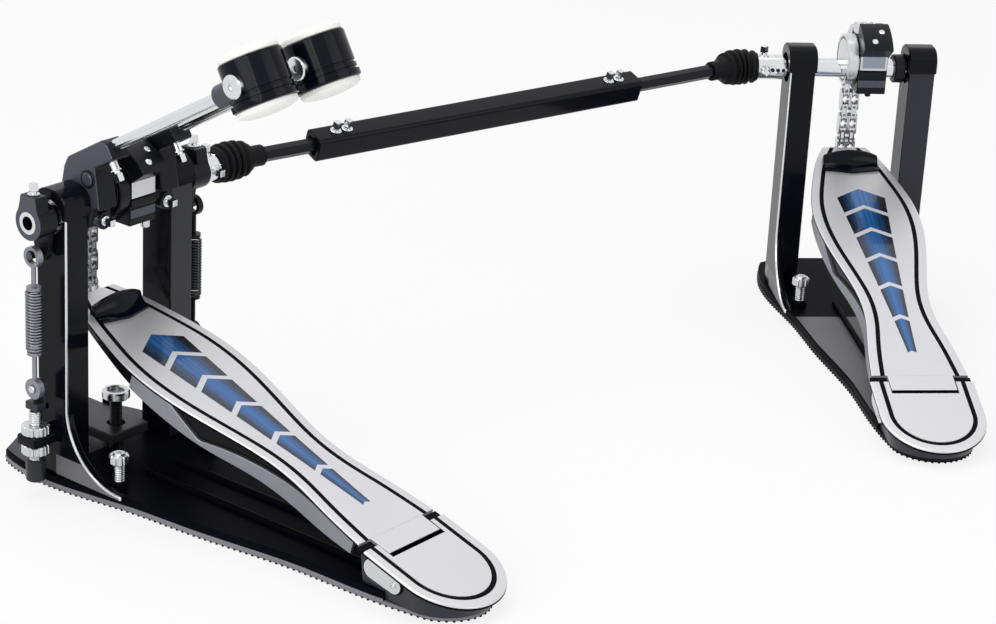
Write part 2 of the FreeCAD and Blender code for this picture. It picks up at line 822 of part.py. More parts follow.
def build_rocker():
    # Built on the +X side.
    ring = rod_x(rocker_arm_inner, rocker_outer, 0, axle_height, rocker_radius)
    foot = rocker_radius * rocker_foot_share
    crown = prism_x([(-foot, axle_height), (foot, axle_height),
                     (rocker_top_half_width, axle_height + rocker_top),
                     (-rocker_top_half_width, axle_height + rocker_top)], rocker_inner, rocker_outer)
    pivot_z = axle_height - rocker_drop
    arm = prism_x([(-foot, axle_height), (foot, axle_height), (rocker_arm_half_width, pivot_z),
                   (-rocker_arm_half_width, pivot_z)], rocker_arm_inner, rocker_arm_outer)
    end = rod_x(rocker_arm_inner, rocker_arm_outer, 0, pivot_z, rocker_arm_radius)
    pin = rod_x(rocker_arm_inner, rocker_pin_end, 0, pivot_z, rocker_pin_radius)
    bore = rod_x(rocker_arm_inner, rocker_outer, 0, axle_height, axle_radius)
    return join(ring, crown, arm, end, pin).cut(bore)


def rocker_screw():
    x = (rocker_inner + rocker_outer) * half_share
    return key_screw((x, 0, axle_height + rocker_top), (0, 0, 1))


def build_beater_face():
    # A domed disc on the floor of its own frame, turned about the Z axis.
    dome_height = face_height - face_edge
    ball_radius = (face_radius ** 2 + dome_height ** 2) / (2 * dome_height)
    half_angle = math.asin(face_radius / ball_radius) * half_share
    rim = V(face_radius, 0, face_edge)
    crown = V(0, 0, face_height)
    drop = ball_radius * (1 - math.cos(half_angle))
    middle = V(ball_radius * math.sin(half_angle), 0, face_height - drop)
    edges = [line(ORIGIN, V(face_radius, 0, 0)), line(V(face_radius, 0, 0), rim),
             Part.Arc(rim, middle, crown).toShape(), line(crown, ORIGIN)]
    return Part.Face(Part.Wire(edges)).revolve(ORIGIN, Z_AXIS, 360)


def build_beater():
    # Built on the +X side. Returns rod, body and faces.
    x = beater_offset
    start = swing_point(beater_rod_start, rod_line_offset)
    end = swing_point(head_distance - head_radius * half_share, rod_line_offset)
    along = V(0, end[0] - start[0], end[1] - start[1])
    rod = Part.makeCylinder(beater_rod_radius, along.Length, V(x, *start), along)
    along.normalize()
    square = V(0, math.sin(rod_pitch), math.cos(rod_pitch))
    centre = V(x, *swing_point(head_distance, rod_line_offset))
    low = centre - square * (head_length * half_share)
    body = Part.makeCylinder(head_radius, head_length, low, square)
    for height in (head_groove_edge, 2 * head_groove_edge):
        base = low + square * height
        ring = Part.makeCylinder(head_radius, head_groove_width, base, square)
        ring = ring.cut(Part.makeCylinder(head_radius - head_groove, head_groove_width, base, square))
        body = body.cut(ring)
    collar_start = centre - along * (head_radius + head_collar_length)
    collar_length = head_collar_length + head_radius * half_share
    collar = Part.makeCylinder(head_collar_radius, collar_length, collar_start, along)
    body = join(body, collar).cut(rod)
    out = X_AXIS if x < 0 else V(-1, 0, 0)
    screw = Part.makeCylinder(head_screw_radius, head_screw_height + head_groove,
                              centre + out * (head_radius - head_groove), out)
    screw = screw.cut(body)
    faces = []
    for sign in (-1, 1):
        face = build_beater_face()
        base = centre + square * (sign * head_length * half_share)
        face.Placement = FreeCAD.Placement(base, FreeCAD.Rotation(Z_AXIS, square * sign))
        faces.append(face)
    return rod, body, group(*faces), screw


def arc_middle(start, corner, end):
    middle = (start + end) * half_share
    toward = corner - middle
    chord_half = (end - start).Length * half_share
    angle = math.atan2(toward.Length, chord_half)
    return middle + toward.normalize() * (chord_half * math.tan(angle * half_share))


def biarc(p0, t0, p1, t1):
    across = p1 - p0
    total = t0 + t1
    spread = 2 * (1 - t0.dot(t1))
    lean = across.dot(total)
    reach = (math.sqrt(lean ** 2 + spread * across.dot(across)) - lean) / spread
    corner0 = p0 + t0 * reach
    corner1 = p1 - t1 * reach
    joint = (corner0 + corner1) * half_share
    return [Part.Arc(p0, arc_middle(p0, corner0, joint), joint).toShape(),
            Part.Arc(joint, arc_middle(joint, corner1, p1), p1).toShape()]


def coil_frame(turn, x):
    rise = (spring_top_z - spring_bottom_z - 2 * spring_wire_radius) / spring_turns
    angle = 2 * math.pi * turn
    point = V(x + spring_coil_radius * math.cos(angle), spring_coil_radius * math.sin(angle),
              spring_bottom_z + spring_wire_radius + rise * turn)
    tangent = V(-math.sin(angle), math.cos(angle), rise / (2 * math.pi * spring_coil_radius))
    return point, tangent.normalize()


def build_coil(x):
    edges = []
    for step in range(spring_turns * quarters):
        p0, t0 = coil_frame(step / quarters, x)
        p1, t1 = coil_frame((step + 1) / quarters, x)
        edges.extend(biarc(p0, t0, p1, t1))
    path = Part.Wire(edges)
    start, tangent = coil_frame(0, x)
    circle = Part.Wire(Part.Circle(start, tangent, spring_wire_radius).toShape())
    return path.makePipeShell([circle], True, False)


def coil_gap():
    count = spring_turns * gap_samples + 1
    nearest = gap_samples * 3 // quarters
    points = [coil_frame(step / gap_samples, 0)[0] for step in range(count)]
    least = min((points[first] - points[second]).Length for first in range(count)
                for second in range(first + nearest, min(first + 2 * gap_samples, count)))
    return least - 2 * spring_wire_radius


def spring_link(x, pivot_z, stem_end, plug_start, hole):
    # An eye on a pivot, with a stem that runs to a plug at the coil's end.
    low = x - spring_link_half_width
    high = x + spring_link_half_width
    eye = rod_x(low, high, 0, pivot_z, spring_eye_radius)
    stem = rod_z(x, 0, min(pivot_z, stem_end), max(pivot_z, stem_end), spring_stem_radius)
    plug = rod_z(x, 0, plug_start, plug_start + spring_plug_height, spring_plug_radius)
    return join(eye, stem, plug).cut(rod_x(low, high, 0, pivot_z, hole))


def build_spring(x):
    plug_start = spring_bottom_z - spring_plug_height - spring_tip_gap
    hole = rocker_pin_radius + side_gap
    return group(build_coil(x), spring_link(x, spring_low_pivot_z, plug_start, plug_start, hole))


def build_spring_eye(x):
    pivot_z = axle_height - rocker_drop - spring_eye_sag
    plug_start = spring_top_z + spring_tip_gap
    return spring_link(x, pivot_z, plug_start, plug_start, spring_eye_hole)


def build_nut(x, z):
    nut = rod_z(x, 0, z, z + nut_height, nut_radius)
    nut = nut.cut(rod_z(x, 0, z, z + nut_height, tension_rod_radius))
    slots = []
    for index in range(nut_slot_count):
        half = nut_slot_width * half_share
        slot = box((nut_radius - nut_slot_depth, -half, z),
                   (nut_radius + nut_slot_depth, half, z + nut_height))
        slot.rotate(ORIGIN, Z_AXIS, index * 360 / nut_slot_count)
        slot.translate(V(x, 0, 0))
        slots.append(slot)
    return nut.cut(Part.makeCompound(slots))


def build_tensioner():
    # Built on the +X side: bracket, rod and the two nuts that lock it.
    x = spring_x
    post_face = post_offset + post_width * half_share
    low = bracket_z - bracket_half_height
    high = bracket_z + bracket_half_height
    bracket = box((post_face, -bracket_half_depth, low), (bracket_reach, bracket_half_depth, high))
    bracket = bracket.cut(rod_z(x, 0, low, high, tension_rod_radius))
    shaft = rod_z(x, 0, sleeve_bottom, tension_head_bottom, tension_rod_radius)
    sleeve = rod_z(x, 0, sleeve_bottom, sleeve_top, sleeve_radius)
    head = box((tension_plate_inner, -tension_plate_radius, tension_head_bottom),
               (rocker_pin_end, tension_plate_radius, tension_head_top))
    plate = box((tension_plate_inner, -tension_plate_radius, tension_head_bottom),
                (tension_plate_outer, tension_plate_radius, spring_low_pivot_z))
    cheek = rod_x(tension_plate_inner, tension_plate_outer, 0, spring_low_pivot_z, tension_plate_radius)
    pin = rod_x(tension_plate_inner, rocker_pin_end, 0, spring_low_pivot_z, rocker_pin_radius)
    return group(bracket, join(shaft, sleeve, head, plate, cheek, pin),
                 build_nut(x, high), build_nut(x, low - nut_height))


def build_jaw():
    top = jaw_bottom + jaw_thickness
    plate = box((-jaw_half_width, jaw_back, jaw_bottom), (jaw_half_width, jaw_front, top))
    pad = box((-jaw_half_width, jaw_front - jaw_pad_length, jaw_bottom - jaw_pad_drop),
              (jaw_half_width, jaw_front, jaw_bottom))
    trunnion = rod_x(-lug_outer, lug_outer, jaw_pivot_y, jaw_pivot_z, jaw_pin_radius)
    hole = rod_z(0, clamp_screw_y, jaw_bottom, top, clamp_screw_radius + clamp_hole_gap)
    return join(plate, pad, trunnion).cut(hole)


def build_clamp_screw():
    shaft = rod_z(0, clamp_screw_y, plate_top + clamp_foot_gap, clamp_screw_top, clamp_screw_radius)
    ring_top = clamp_screw_top + clamp_ring_height
    ring = rod_z(0, clamp_screw_y, clamp_screw_top, ring_top, clamp_ring_radius)
    dish = rod_z(0, clamp_screw_y, ring_top - clamp_ring_height * half_share, ring_top, clamp_ring_bore)
    return join(shaft, ring).cut(dish)


def axle_yoke(joint_x, side, back):
    # A fork on the axle's end. Its prongs stand above and below the joint's centre.
    reach = joint_x - side * back
    face = joint_x - side * yoke_face
    hub = rod_x(min(reach, face), max(reach, face), 0, axle_height, yoke_radius)
    parts = []
    for sign in (-1, 1):
        z_low = axle_height + (prong_inner if sign > 0 else -prong_outer)
        z_high = axle_height + (prong_outer if sign > 0 else -prong_inner)
        tip = joint_x + side * prong_tip
        prong = box((min(face, tip), -prong_half_width, z_low), (max(face, tip), prong_half_width, z_high))
        parts.append(prong.cut(rod_z(joint_x, 0, z_low, z_high, prong_hole_radius)))
    return join(hub, *parts)


def yoke_screws(x):
    return [key_screw((x, 0, axle_height + yoke_radius - key_seat_depth), (0, 0, 1)),
            key_screw((x, -yoke_radius + key_seat_depth, axle_height), (0, -1, 0))]


def yoke_flats(x):
    half = key_collar_radius + side_gap
    top = box((x - half, -yoke_radius, axle_height + yoke_radius - key_seat_depth),
              (x + half, yoke_radius, axle_height + yoke_radius))
    front = box((x - half, -yoke_radius, axle_height - yoke_radius),
                (x + half, -yoke_radius + key_seat_depth, axle_height + yoke_radius))
    return Part.makeCompound([top, front])


def build_main_axle():
    shaft = rod_x(axle_left_end, axle_split - side_gap, 0, axle_height, axle_radius)
    spigot = rod_x(axle_split - side_gap, axle_split + spigot_length, 0, axle_height, spigot_radius)
    bore = rod_x(axle_left_end, axle_left_end + axle_bore_depth, 0, axle_height, axle_bore_radius)
    return join(shaft, spigot).cut(bore)


def build_second_axle():
    yoke_back = main_joint_x - main_yoke_back
    shaft = rod_x(axle_split, yoke_back, 0, axle_height, axle_radius)
    socket_end = axle_split + spigot_length + loose_gap
    socket = rod_x(axle_split, socket_end, 0, axle_height, spigot_radius + running_gap)
    x = main_joint_x - (main_yoke_back + boot_mouth) * half_share
    yoke = axle_yoke(main_joint_x, 1, main_yoke_back).cut(yoke_flats(x))
    return join(shaft.cut(socket), yoke), yoke_screws(x)


def build_slave_axle():
    yoke_back = slave_joint_x + slave_yoke_back
    shaft = rod_x(yoke_back, slave_axle_right, 0, axle_height, axle_radius)
    x = slave_joint_x + (slave_yoke_back + boot_mouth) * half_share
    yoke = axle_yoke(slave_joint_x, -1, slave_yoke_back).cut(yoke_flats(x))
    return join(shaft, yoke), yoke_screws(x)


def build_collar():
    collar = rod_x(collar_left, collar_right, 0, axle_height, collar_radius)
    return collar.cut(rod_x(collar_left, collar_right, 0, axle_height, axle_radius))


main_joint = V(main_joint_x, 0, axle_height)
slave_turn = FreeCAD.Rotation(Z_AXIS, slave_yaw_deg)
slave_joint = slave_turn.multVec(V(slave_joint_x, 0, axle_height)) + V(slave_x, slave_y, 0)
shaft_vector = slave_joint - main_joint
shaft_length = shaft_vector.Length
shaft_yaw_deg = math.degrees(math.atan2(shaft_vector.y, shaft_vector.x))


def along_shaft(shape):
    placed = shape.copy()
    placed.rotate(ORIGIN, Z_AXIS, shaft_yaw_deg)
    placed.translate(main_joint)
    return placed


def hex_bar(start, end, flats):
    radius = flats * half_share / math.cos(math.pi / 6)
    corners = [(radius * math.cos(math.radians(60 * index)), radius * math.sin(math.radians(60 * index)))
               for index in range(6)]
    return prism_x(corners, start, end)


def build_rod(joint, side, inner_end):
    # Shaft frame: x runs from the main joint to the second one.
    face = joint + side * yoke_face
    hub_end = joint + side * shaft_hub_end
    hub = rod_x(min(face, hub_end), max(face, hub_end), 0, 0, shaft_hub_radius)
    bar = hex_bar(min(hub_end, inner_end), max(hub_end, inner_end), shaft_rod_flats)
    bar.rotate(ORIGIN, X_AXIS, tube_roll_deg)
    parts = [bar]
    for sign in (-1, 1):
        y_low = prong_inner if sign > 0 else -prong_outer
        y_high = prong_outer if sign > 0 else -prong_inner
        tip = joint - side * prong_tip
        prong = box((min(face, tip), y_low, -prong_half_width), (max(face, tip), y_high, prong_half_width))
        hole = Part.makeCylinder(prong_hole_radius, y_high - y_low, V(joint, y_low, 0), Y_AXIS)
        parts.append(prong.cut(hole))
    return along_shaft(join(hub, *parts))


def build_tube():
    half = tube_width * half_share
    body = box((tube_start, -half, -half), (tube_end, half, half))
    long_edges = [edge for edge in body.Edges if edge.BoundBox.XLength > tube_width]
    body = body.makeFillet(tube_corner, long_edges)
    body = body.cut(hex_bar(tube_start, tube_end, shaft_rod_flats + 2 * side_gap))
    plug = hex_bar(tube_start, tube_start + shaft_hub_end, shaft_rod_flats + 2 * side_gap)
    plug = plug.cut(hex_bar(tube_start, tube_start + shaft_hub_end, shaft_rod_flats))
    screws = []
    for inset in tube_key_insets:
        for x in (tube_start + inset, tube_end - inset):
            screws.append(key_screw((x, 0, half), (0, 0, 1)))
    tube = group(join(body, plug), *screws)
    tube.rotate(ORIGIN, X_AXIS, tube_roll_deg)
    return along_shaft(tube)


def build_cross(centre, shaft_direction):
    pins = [Part.makeCylinder(cross_pin_radius, 2 * cross_pin_half, centre - axis * cross_pin_half, axis)
            for axis in (Z_AXIS, shaft_direction.cross(Z_AXIS))]
    return join(Part.makeSphere(cross_core_radius, centre), *pins)


def boot_circle(centre, axle_direction, shaft_direction, reach, radius):
    if reach <= -boot_bend:
        point = centre - axle_direction * reach
        normal = axle_direction * -1
    elif reach >= boot_bend:
        point = centre + shaft_direction * reach
        normal = shaft_direction
    else:
        share = (reach + boot_bend) / (2 * boot_bend)
        start = centre + axle_direction * boot_bend
        end = centre + shaft_direction * boot_bend
        point = start * (1 - share) ** 2 + centre * (2 * share * (1 - share)) + end * share ** 2
        normal = (centre - start) * (1 - share) + (end - centre) * share
    circle = Part.Circle(point, normal, radius)
    circle.XAxis = Z_AXIS
    return Part.Wire(circle.toShape())


def build_boot(centre, axle_direction, shaft_direction):
    def ring(reach, radius):
        return boot_circle(centre, axle_direction, shaft_direction, reach, radius)

    mouth_end = -boot_mouth * half_share
    pitch_length = (boot_end - mouth_end) / len(boot_taper_shares)
    taper = (boot_valley_radius - boot_neck_radius) * half_share
    outer = [ring(-boot_mouth, boot_mouth_radius), ring(mouth_end - side_gap, boot_mouth_radius)]
    for rib, taper_share in enumerate(boot_taper_shares):
        drop = taper * taper_share
        radii = (boot_valley_radius, boot_peak_radius, boot_peak_radius, boot_valley_radius)
        for share, radius in zip(boot_rib_shares, radii):
            outer.append(ring(mouth_end + (rib + share) * pitch_length, radius - drop))
    outer.append(ring(boot_end, boot_neck_radius))
    outer.append(ring(boot_neck_end, boot_neck_radius))
    skin = Part.makeLoft(outer, True, True)
    neck_bore = shaft_rod_flats * half_share / math.cos(math.pi / 6) + running_gap
    inner = [ring(-boot_mouth, yoke_radius + running_gap), ring(-yoke_face, yoke_radius + running_gap),
             ring(-boot_bend, boot_bore_radius), ring(0, boot_bore_radius),
             ring(boot_bend, boot_bore_radius), ring(shaft_hub_end, shaft_hub_radius + side_gap),
             ring(shaft_hub_end + side_gap, neck_bore), ring(boot_neck_end, neck_bore)]
    return skin.cut(Part.makeLoft(inner, True, True))


def pedal_frame(prefix, place, with_clamp):
    nodes[prefix + "rubber_mat"] = place(build_mat())
    nodes[prefix + "base_plate"] = place(build_base(with_clamp))
    nodes[prefix + "posts"] = place(both_sides(build_post()))
    nodes[prefix + "bearing_caps"] = place(build_caps())
    nodes[prefix + "heel_plate"] = place(build_heel())
    nodes[prefix + "hinge_pin"] = place(build_hinge_pin())
    nodes[prefix + "spurs"] = place(build_spurs())
    nodes[prefix + "footboard"] = place(build_footboard())
    nodes[prefix + "toe_bracket"] = place(build_toe_bracket())
    nodes[prefix + "chain_run"] = place(build_chain_run())
    for index in range(1, chain_free_links + 1):
        nodes[prefix + "chain_link_%d" % index] = place(build_chain_link(index))
    nodes[prefix + "chain_wrap"] = place(build_chain_wrap())
    nodes[prefix + "drive_cam"] = place(build_cam().cut(Part.makeCompound(cam_screws())))


def build_all():
    pedal_frame("main_", lambda shape: shape, True)
    pedal_frame("slave_", to_slave, False)
    rod, body, faces, head_screw = build_beater()
    hub = build_hub()
    rocker = build_rocker()
    screws = hub_screws() + [rocker_screw()]
    second_axle, second_yoke_screws = build_second_axle()
    slave_axle, slave_yoke_screws = build_slave_axle()
    nodes["main_axle"] = build_main_axle()
    nodes["main_hub"] = mirror_x(hub)
    nodes["main_rocker"] = mirror_x(rocker)
    nodes["main_screws"] = group(*[mirror_x(screw) for screw in screws], *cam_screws())
    nodes["main_beater_rod"] = mirror_x(rod)
    main_head_screw = mirror_x(head_screw).mirror(V(-beater_offset, 0, 0), X_AXIS)
    nodes["main_beater_body"] = group(mirror_x(body), main_head_screw)
    nodes["main_beater_faces"] = mirror_x(faces)
    nodes["second_axle"] = second_axle
    nodes["second_hub"] = hub
    nodes["second_rocker"] = rocker
    nodes["second_screws"] = group(*screws, *second_yoke_screws)
    nodes["second_beater_rod"] = rod
    nodes["second_beater_body"] = group(body, head_screw)
    nodes["second_beater_faces"] = faces
    for name, side in (("left_", -1), ("right_", 1)):
        nodes[name + "spring"] = build_spring(side * spring_x)
        nodes[name + "spring_eye"] = build_spring_eye(side * spring_x)
    nodes["spring_tensioners"] = both_sides(build_tensioner())
    nodes["clamp_jaw"] = build_jaw()
    nodes["clamp_screw"] = build_clamp_screw()
    nodes["slave_axle"] = to_slave(slave_axle)
    nodes["slave_screws"] = to_slave(group(build_collar(), *slave_yoke_screws, *cam_screws()))
    direction = V(shaft_vector).normalize()
    slave_side = slave_turn.multVec(X_AXIS)
    nodes["drive_tube"] = build_tube()
    nodes["main_shaft_rod"] = build_rod(0, 1, main_rod_end)
    nodes["slave_shaft_rod"] = build_rod(shaft_length, -1, slave_rod_start)
    nodes["main_cross"] = build_cross(main_joint, direction)
    nodes["slave_cross"] = build_cross(slave_joint, direction)
    nodes["main_boot"] = build_boot(main_joint, X_AXIS * -1, direction)
    nodes["slave_boot"] = build_boot(slave_joint, slave_side, direction * -1)


build_all()
os.makedirs("parts", exist_ok=True)
for name in sorted(nodes):
    shape = nodes[name]
    report = (name, len(shape.Solids), shape.Volume, shape.isValid())
    print("%-22s solids %2d volume %10.1f valid %s" % report)
    shape.exportStep("parts/%s.step" % name)
print("nodes", len(nodes))
print("least gap between spring turns %.2f mm" % coil_gap())
print("board pitch %.4f degrees, hinge at y %.3f z %.3f, spring turns %d"
      % (math.degrees(pitch), hinge_y, hinge_z, spring_turns))
print("main joint", main_joint, "second joint", slave_joint, "shaft yaw %.4f" % shaft_yaw_deg)
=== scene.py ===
import math
from typing import NamedTuple

import bmesh
import bpy
from bpy.props import FloatProperty, FloatVectorProperty, IntProperty, PointerProperty
from mathutils import Matrix, Vector


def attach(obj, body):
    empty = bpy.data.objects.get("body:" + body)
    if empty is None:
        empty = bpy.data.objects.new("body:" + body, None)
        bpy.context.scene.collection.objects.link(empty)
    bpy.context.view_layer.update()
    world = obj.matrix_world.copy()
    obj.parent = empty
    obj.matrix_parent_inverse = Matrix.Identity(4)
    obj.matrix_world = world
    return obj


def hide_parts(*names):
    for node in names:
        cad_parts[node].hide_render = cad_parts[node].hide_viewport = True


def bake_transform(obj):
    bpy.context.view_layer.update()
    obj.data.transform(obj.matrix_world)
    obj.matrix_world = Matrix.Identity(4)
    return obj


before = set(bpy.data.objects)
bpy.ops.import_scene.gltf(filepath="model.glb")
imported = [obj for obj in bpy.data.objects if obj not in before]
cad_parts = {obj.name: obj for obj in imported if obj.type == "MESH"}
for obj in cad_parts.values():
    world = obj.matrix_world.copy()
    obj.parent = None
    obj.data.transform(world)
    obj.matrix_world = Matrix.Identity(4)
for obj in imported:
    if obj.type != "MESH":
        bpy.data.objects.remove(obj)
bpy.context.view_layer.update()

bl_info = {
    "name": "Double bass drum pedal",
    "version": (1, 0, 0),
    "blender": (4, 5, 0),
    "location": "View3D > Sidebar > Drum pedal",
    "description": "Dresses a double bass drum pedal around its packed frame",
    "category": "Object",
}

MM = 0.001

# Places shared by the pieces, in millimetres, in the frame's own axes; pitch and yaw in degrees
AXLE_Z = 180.0
BOARD_PITCH = 16.7997
BOARD_HINGE = Vector((0, -236.305, 34.7))
SECOND_PLACE = Vector((592.8, -165.6, 0))
SECOND_YAW = -44.06
SWING_PITCH = 30.4
MAIN_JOINT = Vector((98.0, 0, AXLE_Z))
SECOND_JOINT_X = -91.0

MAIN = Matrix.Identity(4)
SECOND = Matrix.Translation(SECOND_PLACE) @ Matrix.Rotation(math.radians(SECOND_YAW), 4, "Z")
BOARD = Matrix.Translation(BOARD_HINGE) @ Matrix.Rotation(math.radians(BOARD_PITCH), 4, "X")
SECOND_JOINT = SECOND @ Vector((SECOND_JOINT_X, 0, AXLE_Z))
SHAFT = (SECOND_JOINT - MAIN_JOINT).normalized()
PEDALS = (("main", "frame", MAIN), ("slave", "slave_base", SECOND))
BEATERS = (("main", -1), ("second", 1))


def linear(code):
    """Linear colour of an sRGB hex value."""
    values = [int(code[place:place + 2], 16) / 255 for place in (1, 3, 5)]
    return [value / 12.92 if value <= 0.04045 else ((value + 0.055) / 1.055) ** 2.4
            for value in values]


def colour(name, description, code):
    """A colour property."""
    return FloatVectorProperty(name=name, description=description, subtype="COLOR", size=3,
                               min=0, max=1, default=linear(code))


def length(name, description, millimetres):
    """A length property, kept in metres."""
    return FloatProperty(name=name, description=description, unit="LENGTH", default=millimetres * MM)


class PedalColours(bpy.types.PropertyGroup):
    """Colours of the finishes"""
    satin: colour("Satin aluminium", "Top plates of the boards and heels", "#d2d2d6")
    # Partly painted shade: the rails' grey is darkened for their downward-facing sides.
    rail: colour("Rail aluminium", "Lower rails at the sides of the boards", "#8e8e97")
    enamel: colour("Gloss enamel", "Posts, base plates and driveshaft tube", "#0d0e15")
    # On the right posts' fronts this slate is painted light, and on the main plate's front a painted
    # reflection.
    slate: colour("Slate enamel", "Heel bodies, clamp jaw and post fronts", "#23242e")
    zinc: colour("Satin zinc", "Hubs, rockers and cams", "#14151c")
    # Painted light: the lighter tone of the hubs' and rockers' outer sides.
    cast: colour("Cast slate", "Outer sides of hubs and rockers", "#454853")
    chrome: colour("Chrome", "Axles, rods and screws", "#dcdde0")
    nickel: colour("Nickel", "Chains, spurs and nuts", "#cfd0d3")
    steel: colour("Ground steel", "Window of the second cam", "#8f97a6")
    # Both springs are the same wire: the left's lighter tone is painted light, the right's darker tone
    # painted shade.
    wire: colour("Spring wire", "Right return spring", "#34363c")
    drawn: colour("Drawn wire", "Left return spring", "#83858c")
    rubber: colour("Rubber", "Boots, the second mat and the mats' ribs", "#0b0b0e")
    mat: colour("Grey rubber", "Main mat and its plate's edging", "#88888e")
    # Painted reflection: this grey stands for the reflection on the second plate's rear and on the posts'
    # feet.
    plate: colour("Grey enamel", "Rear of the second base plate and the post feet", "#6c6c72")
    plastic: colour("Gloss plastic", "Beater heads and toe stops", "#080a16")
    face: colour("Beater face", "Domed faces of the beaters", "#f8f8f4")
    # Also painted shade at the tongue's end, in the heel pockets, under the heel rims and beside the
    # tongue.
    line: colour("Line paint", "Engraved lines of boards and heels", "#050507")
    lacquer: colour("Lacquer", "Chevrons on the boards", "#1668b0")
    lacquer_edge: colour("Lacquer edge", "Dark borders of the chevrons", "#0d1422")
    floor: colour("Floor", "Studio floor", "#f4f4f4")


class PedalSizes(bpy.types.PropertyGroup):
    """Sizes of the fine detail"""
    groove_width: length("Groove width", "Black line round the boards", 3.2)
    groove_depth: length("Groove depth", "Depth of that line", 0.35)
    groove_inset: length("Groove inset", "Distance of that line from the edge", 7.6)
    rib_pitch: length("Rib pitch", "Spacing of the ribs on the mats' edges", 4.4)
    coil_radius: length("Coil radius", "Middle of the spring wire", 4.65)
    wire_radius: length("Wire radius", "Half the spring wire's thickness", 0.8)
    coil_turns: IntProperty(name="Coil turns", description="Turns of each return spring", default=20,
                            min=3)
    chevrons: IntProperty(name="Chevrons", description="Lacquered chevrons on each board", default=6,
                          min=1)


def sizes():
    return bpy.context.scene.pedal_sizes


def colours():
    return bpy.context.scene.pedal_colours


def in_mm(value):
    return value / MM


# Materials

def add(tree, kind, values=None, links=None, **settings):
    """Adds a node with its settings, the values of its sockets and the links into them."""
    node = tree.nodes.new(kind)
    for key, value in settings.items():
        setattr(node, key, value)
    for key, value in (values or {}).items():
        node.inputs[key].default_value = value
    for key, source in (links or {}).items():
        tree.links.new(source, node.inputs[key])
    return node


def new_finish(name, tint, **values):
    """A material with one principled shader; its name is what later pieces ask for."""
    material = bpy.data.materials.new(name)
    material.use_nodes = True
    tree = material.node_tree
    tree.nodes.clear()
    shader = add(tree, "ShaderNodeBsdfPrincipled", {"Base Color": (*tint, 1), **values})
    add(tree, "ShaderNodeOutputMaterial", links={"Surface": shader.outputs["BSDF"]})
    return tree, shader


CLOUD_MM = 40.0
MIX_COLOURS = (6, 7)
MIX_RESULT = 2


class Finish(NamedTuple):
    """A colour, the grain's size and depth in millimetres, the span of roughness, how far the colour
    wanders, and the shader's own values"""
    tint: str
    grain: float
    depth: float
    rough: tuple
    wander: float = 0.0
    metal: float = 0.0
    level: float = 0.5
    ior: float = 1.5
    sheen: float = 0.0
    stretch: tuple = (1, 1, 1)


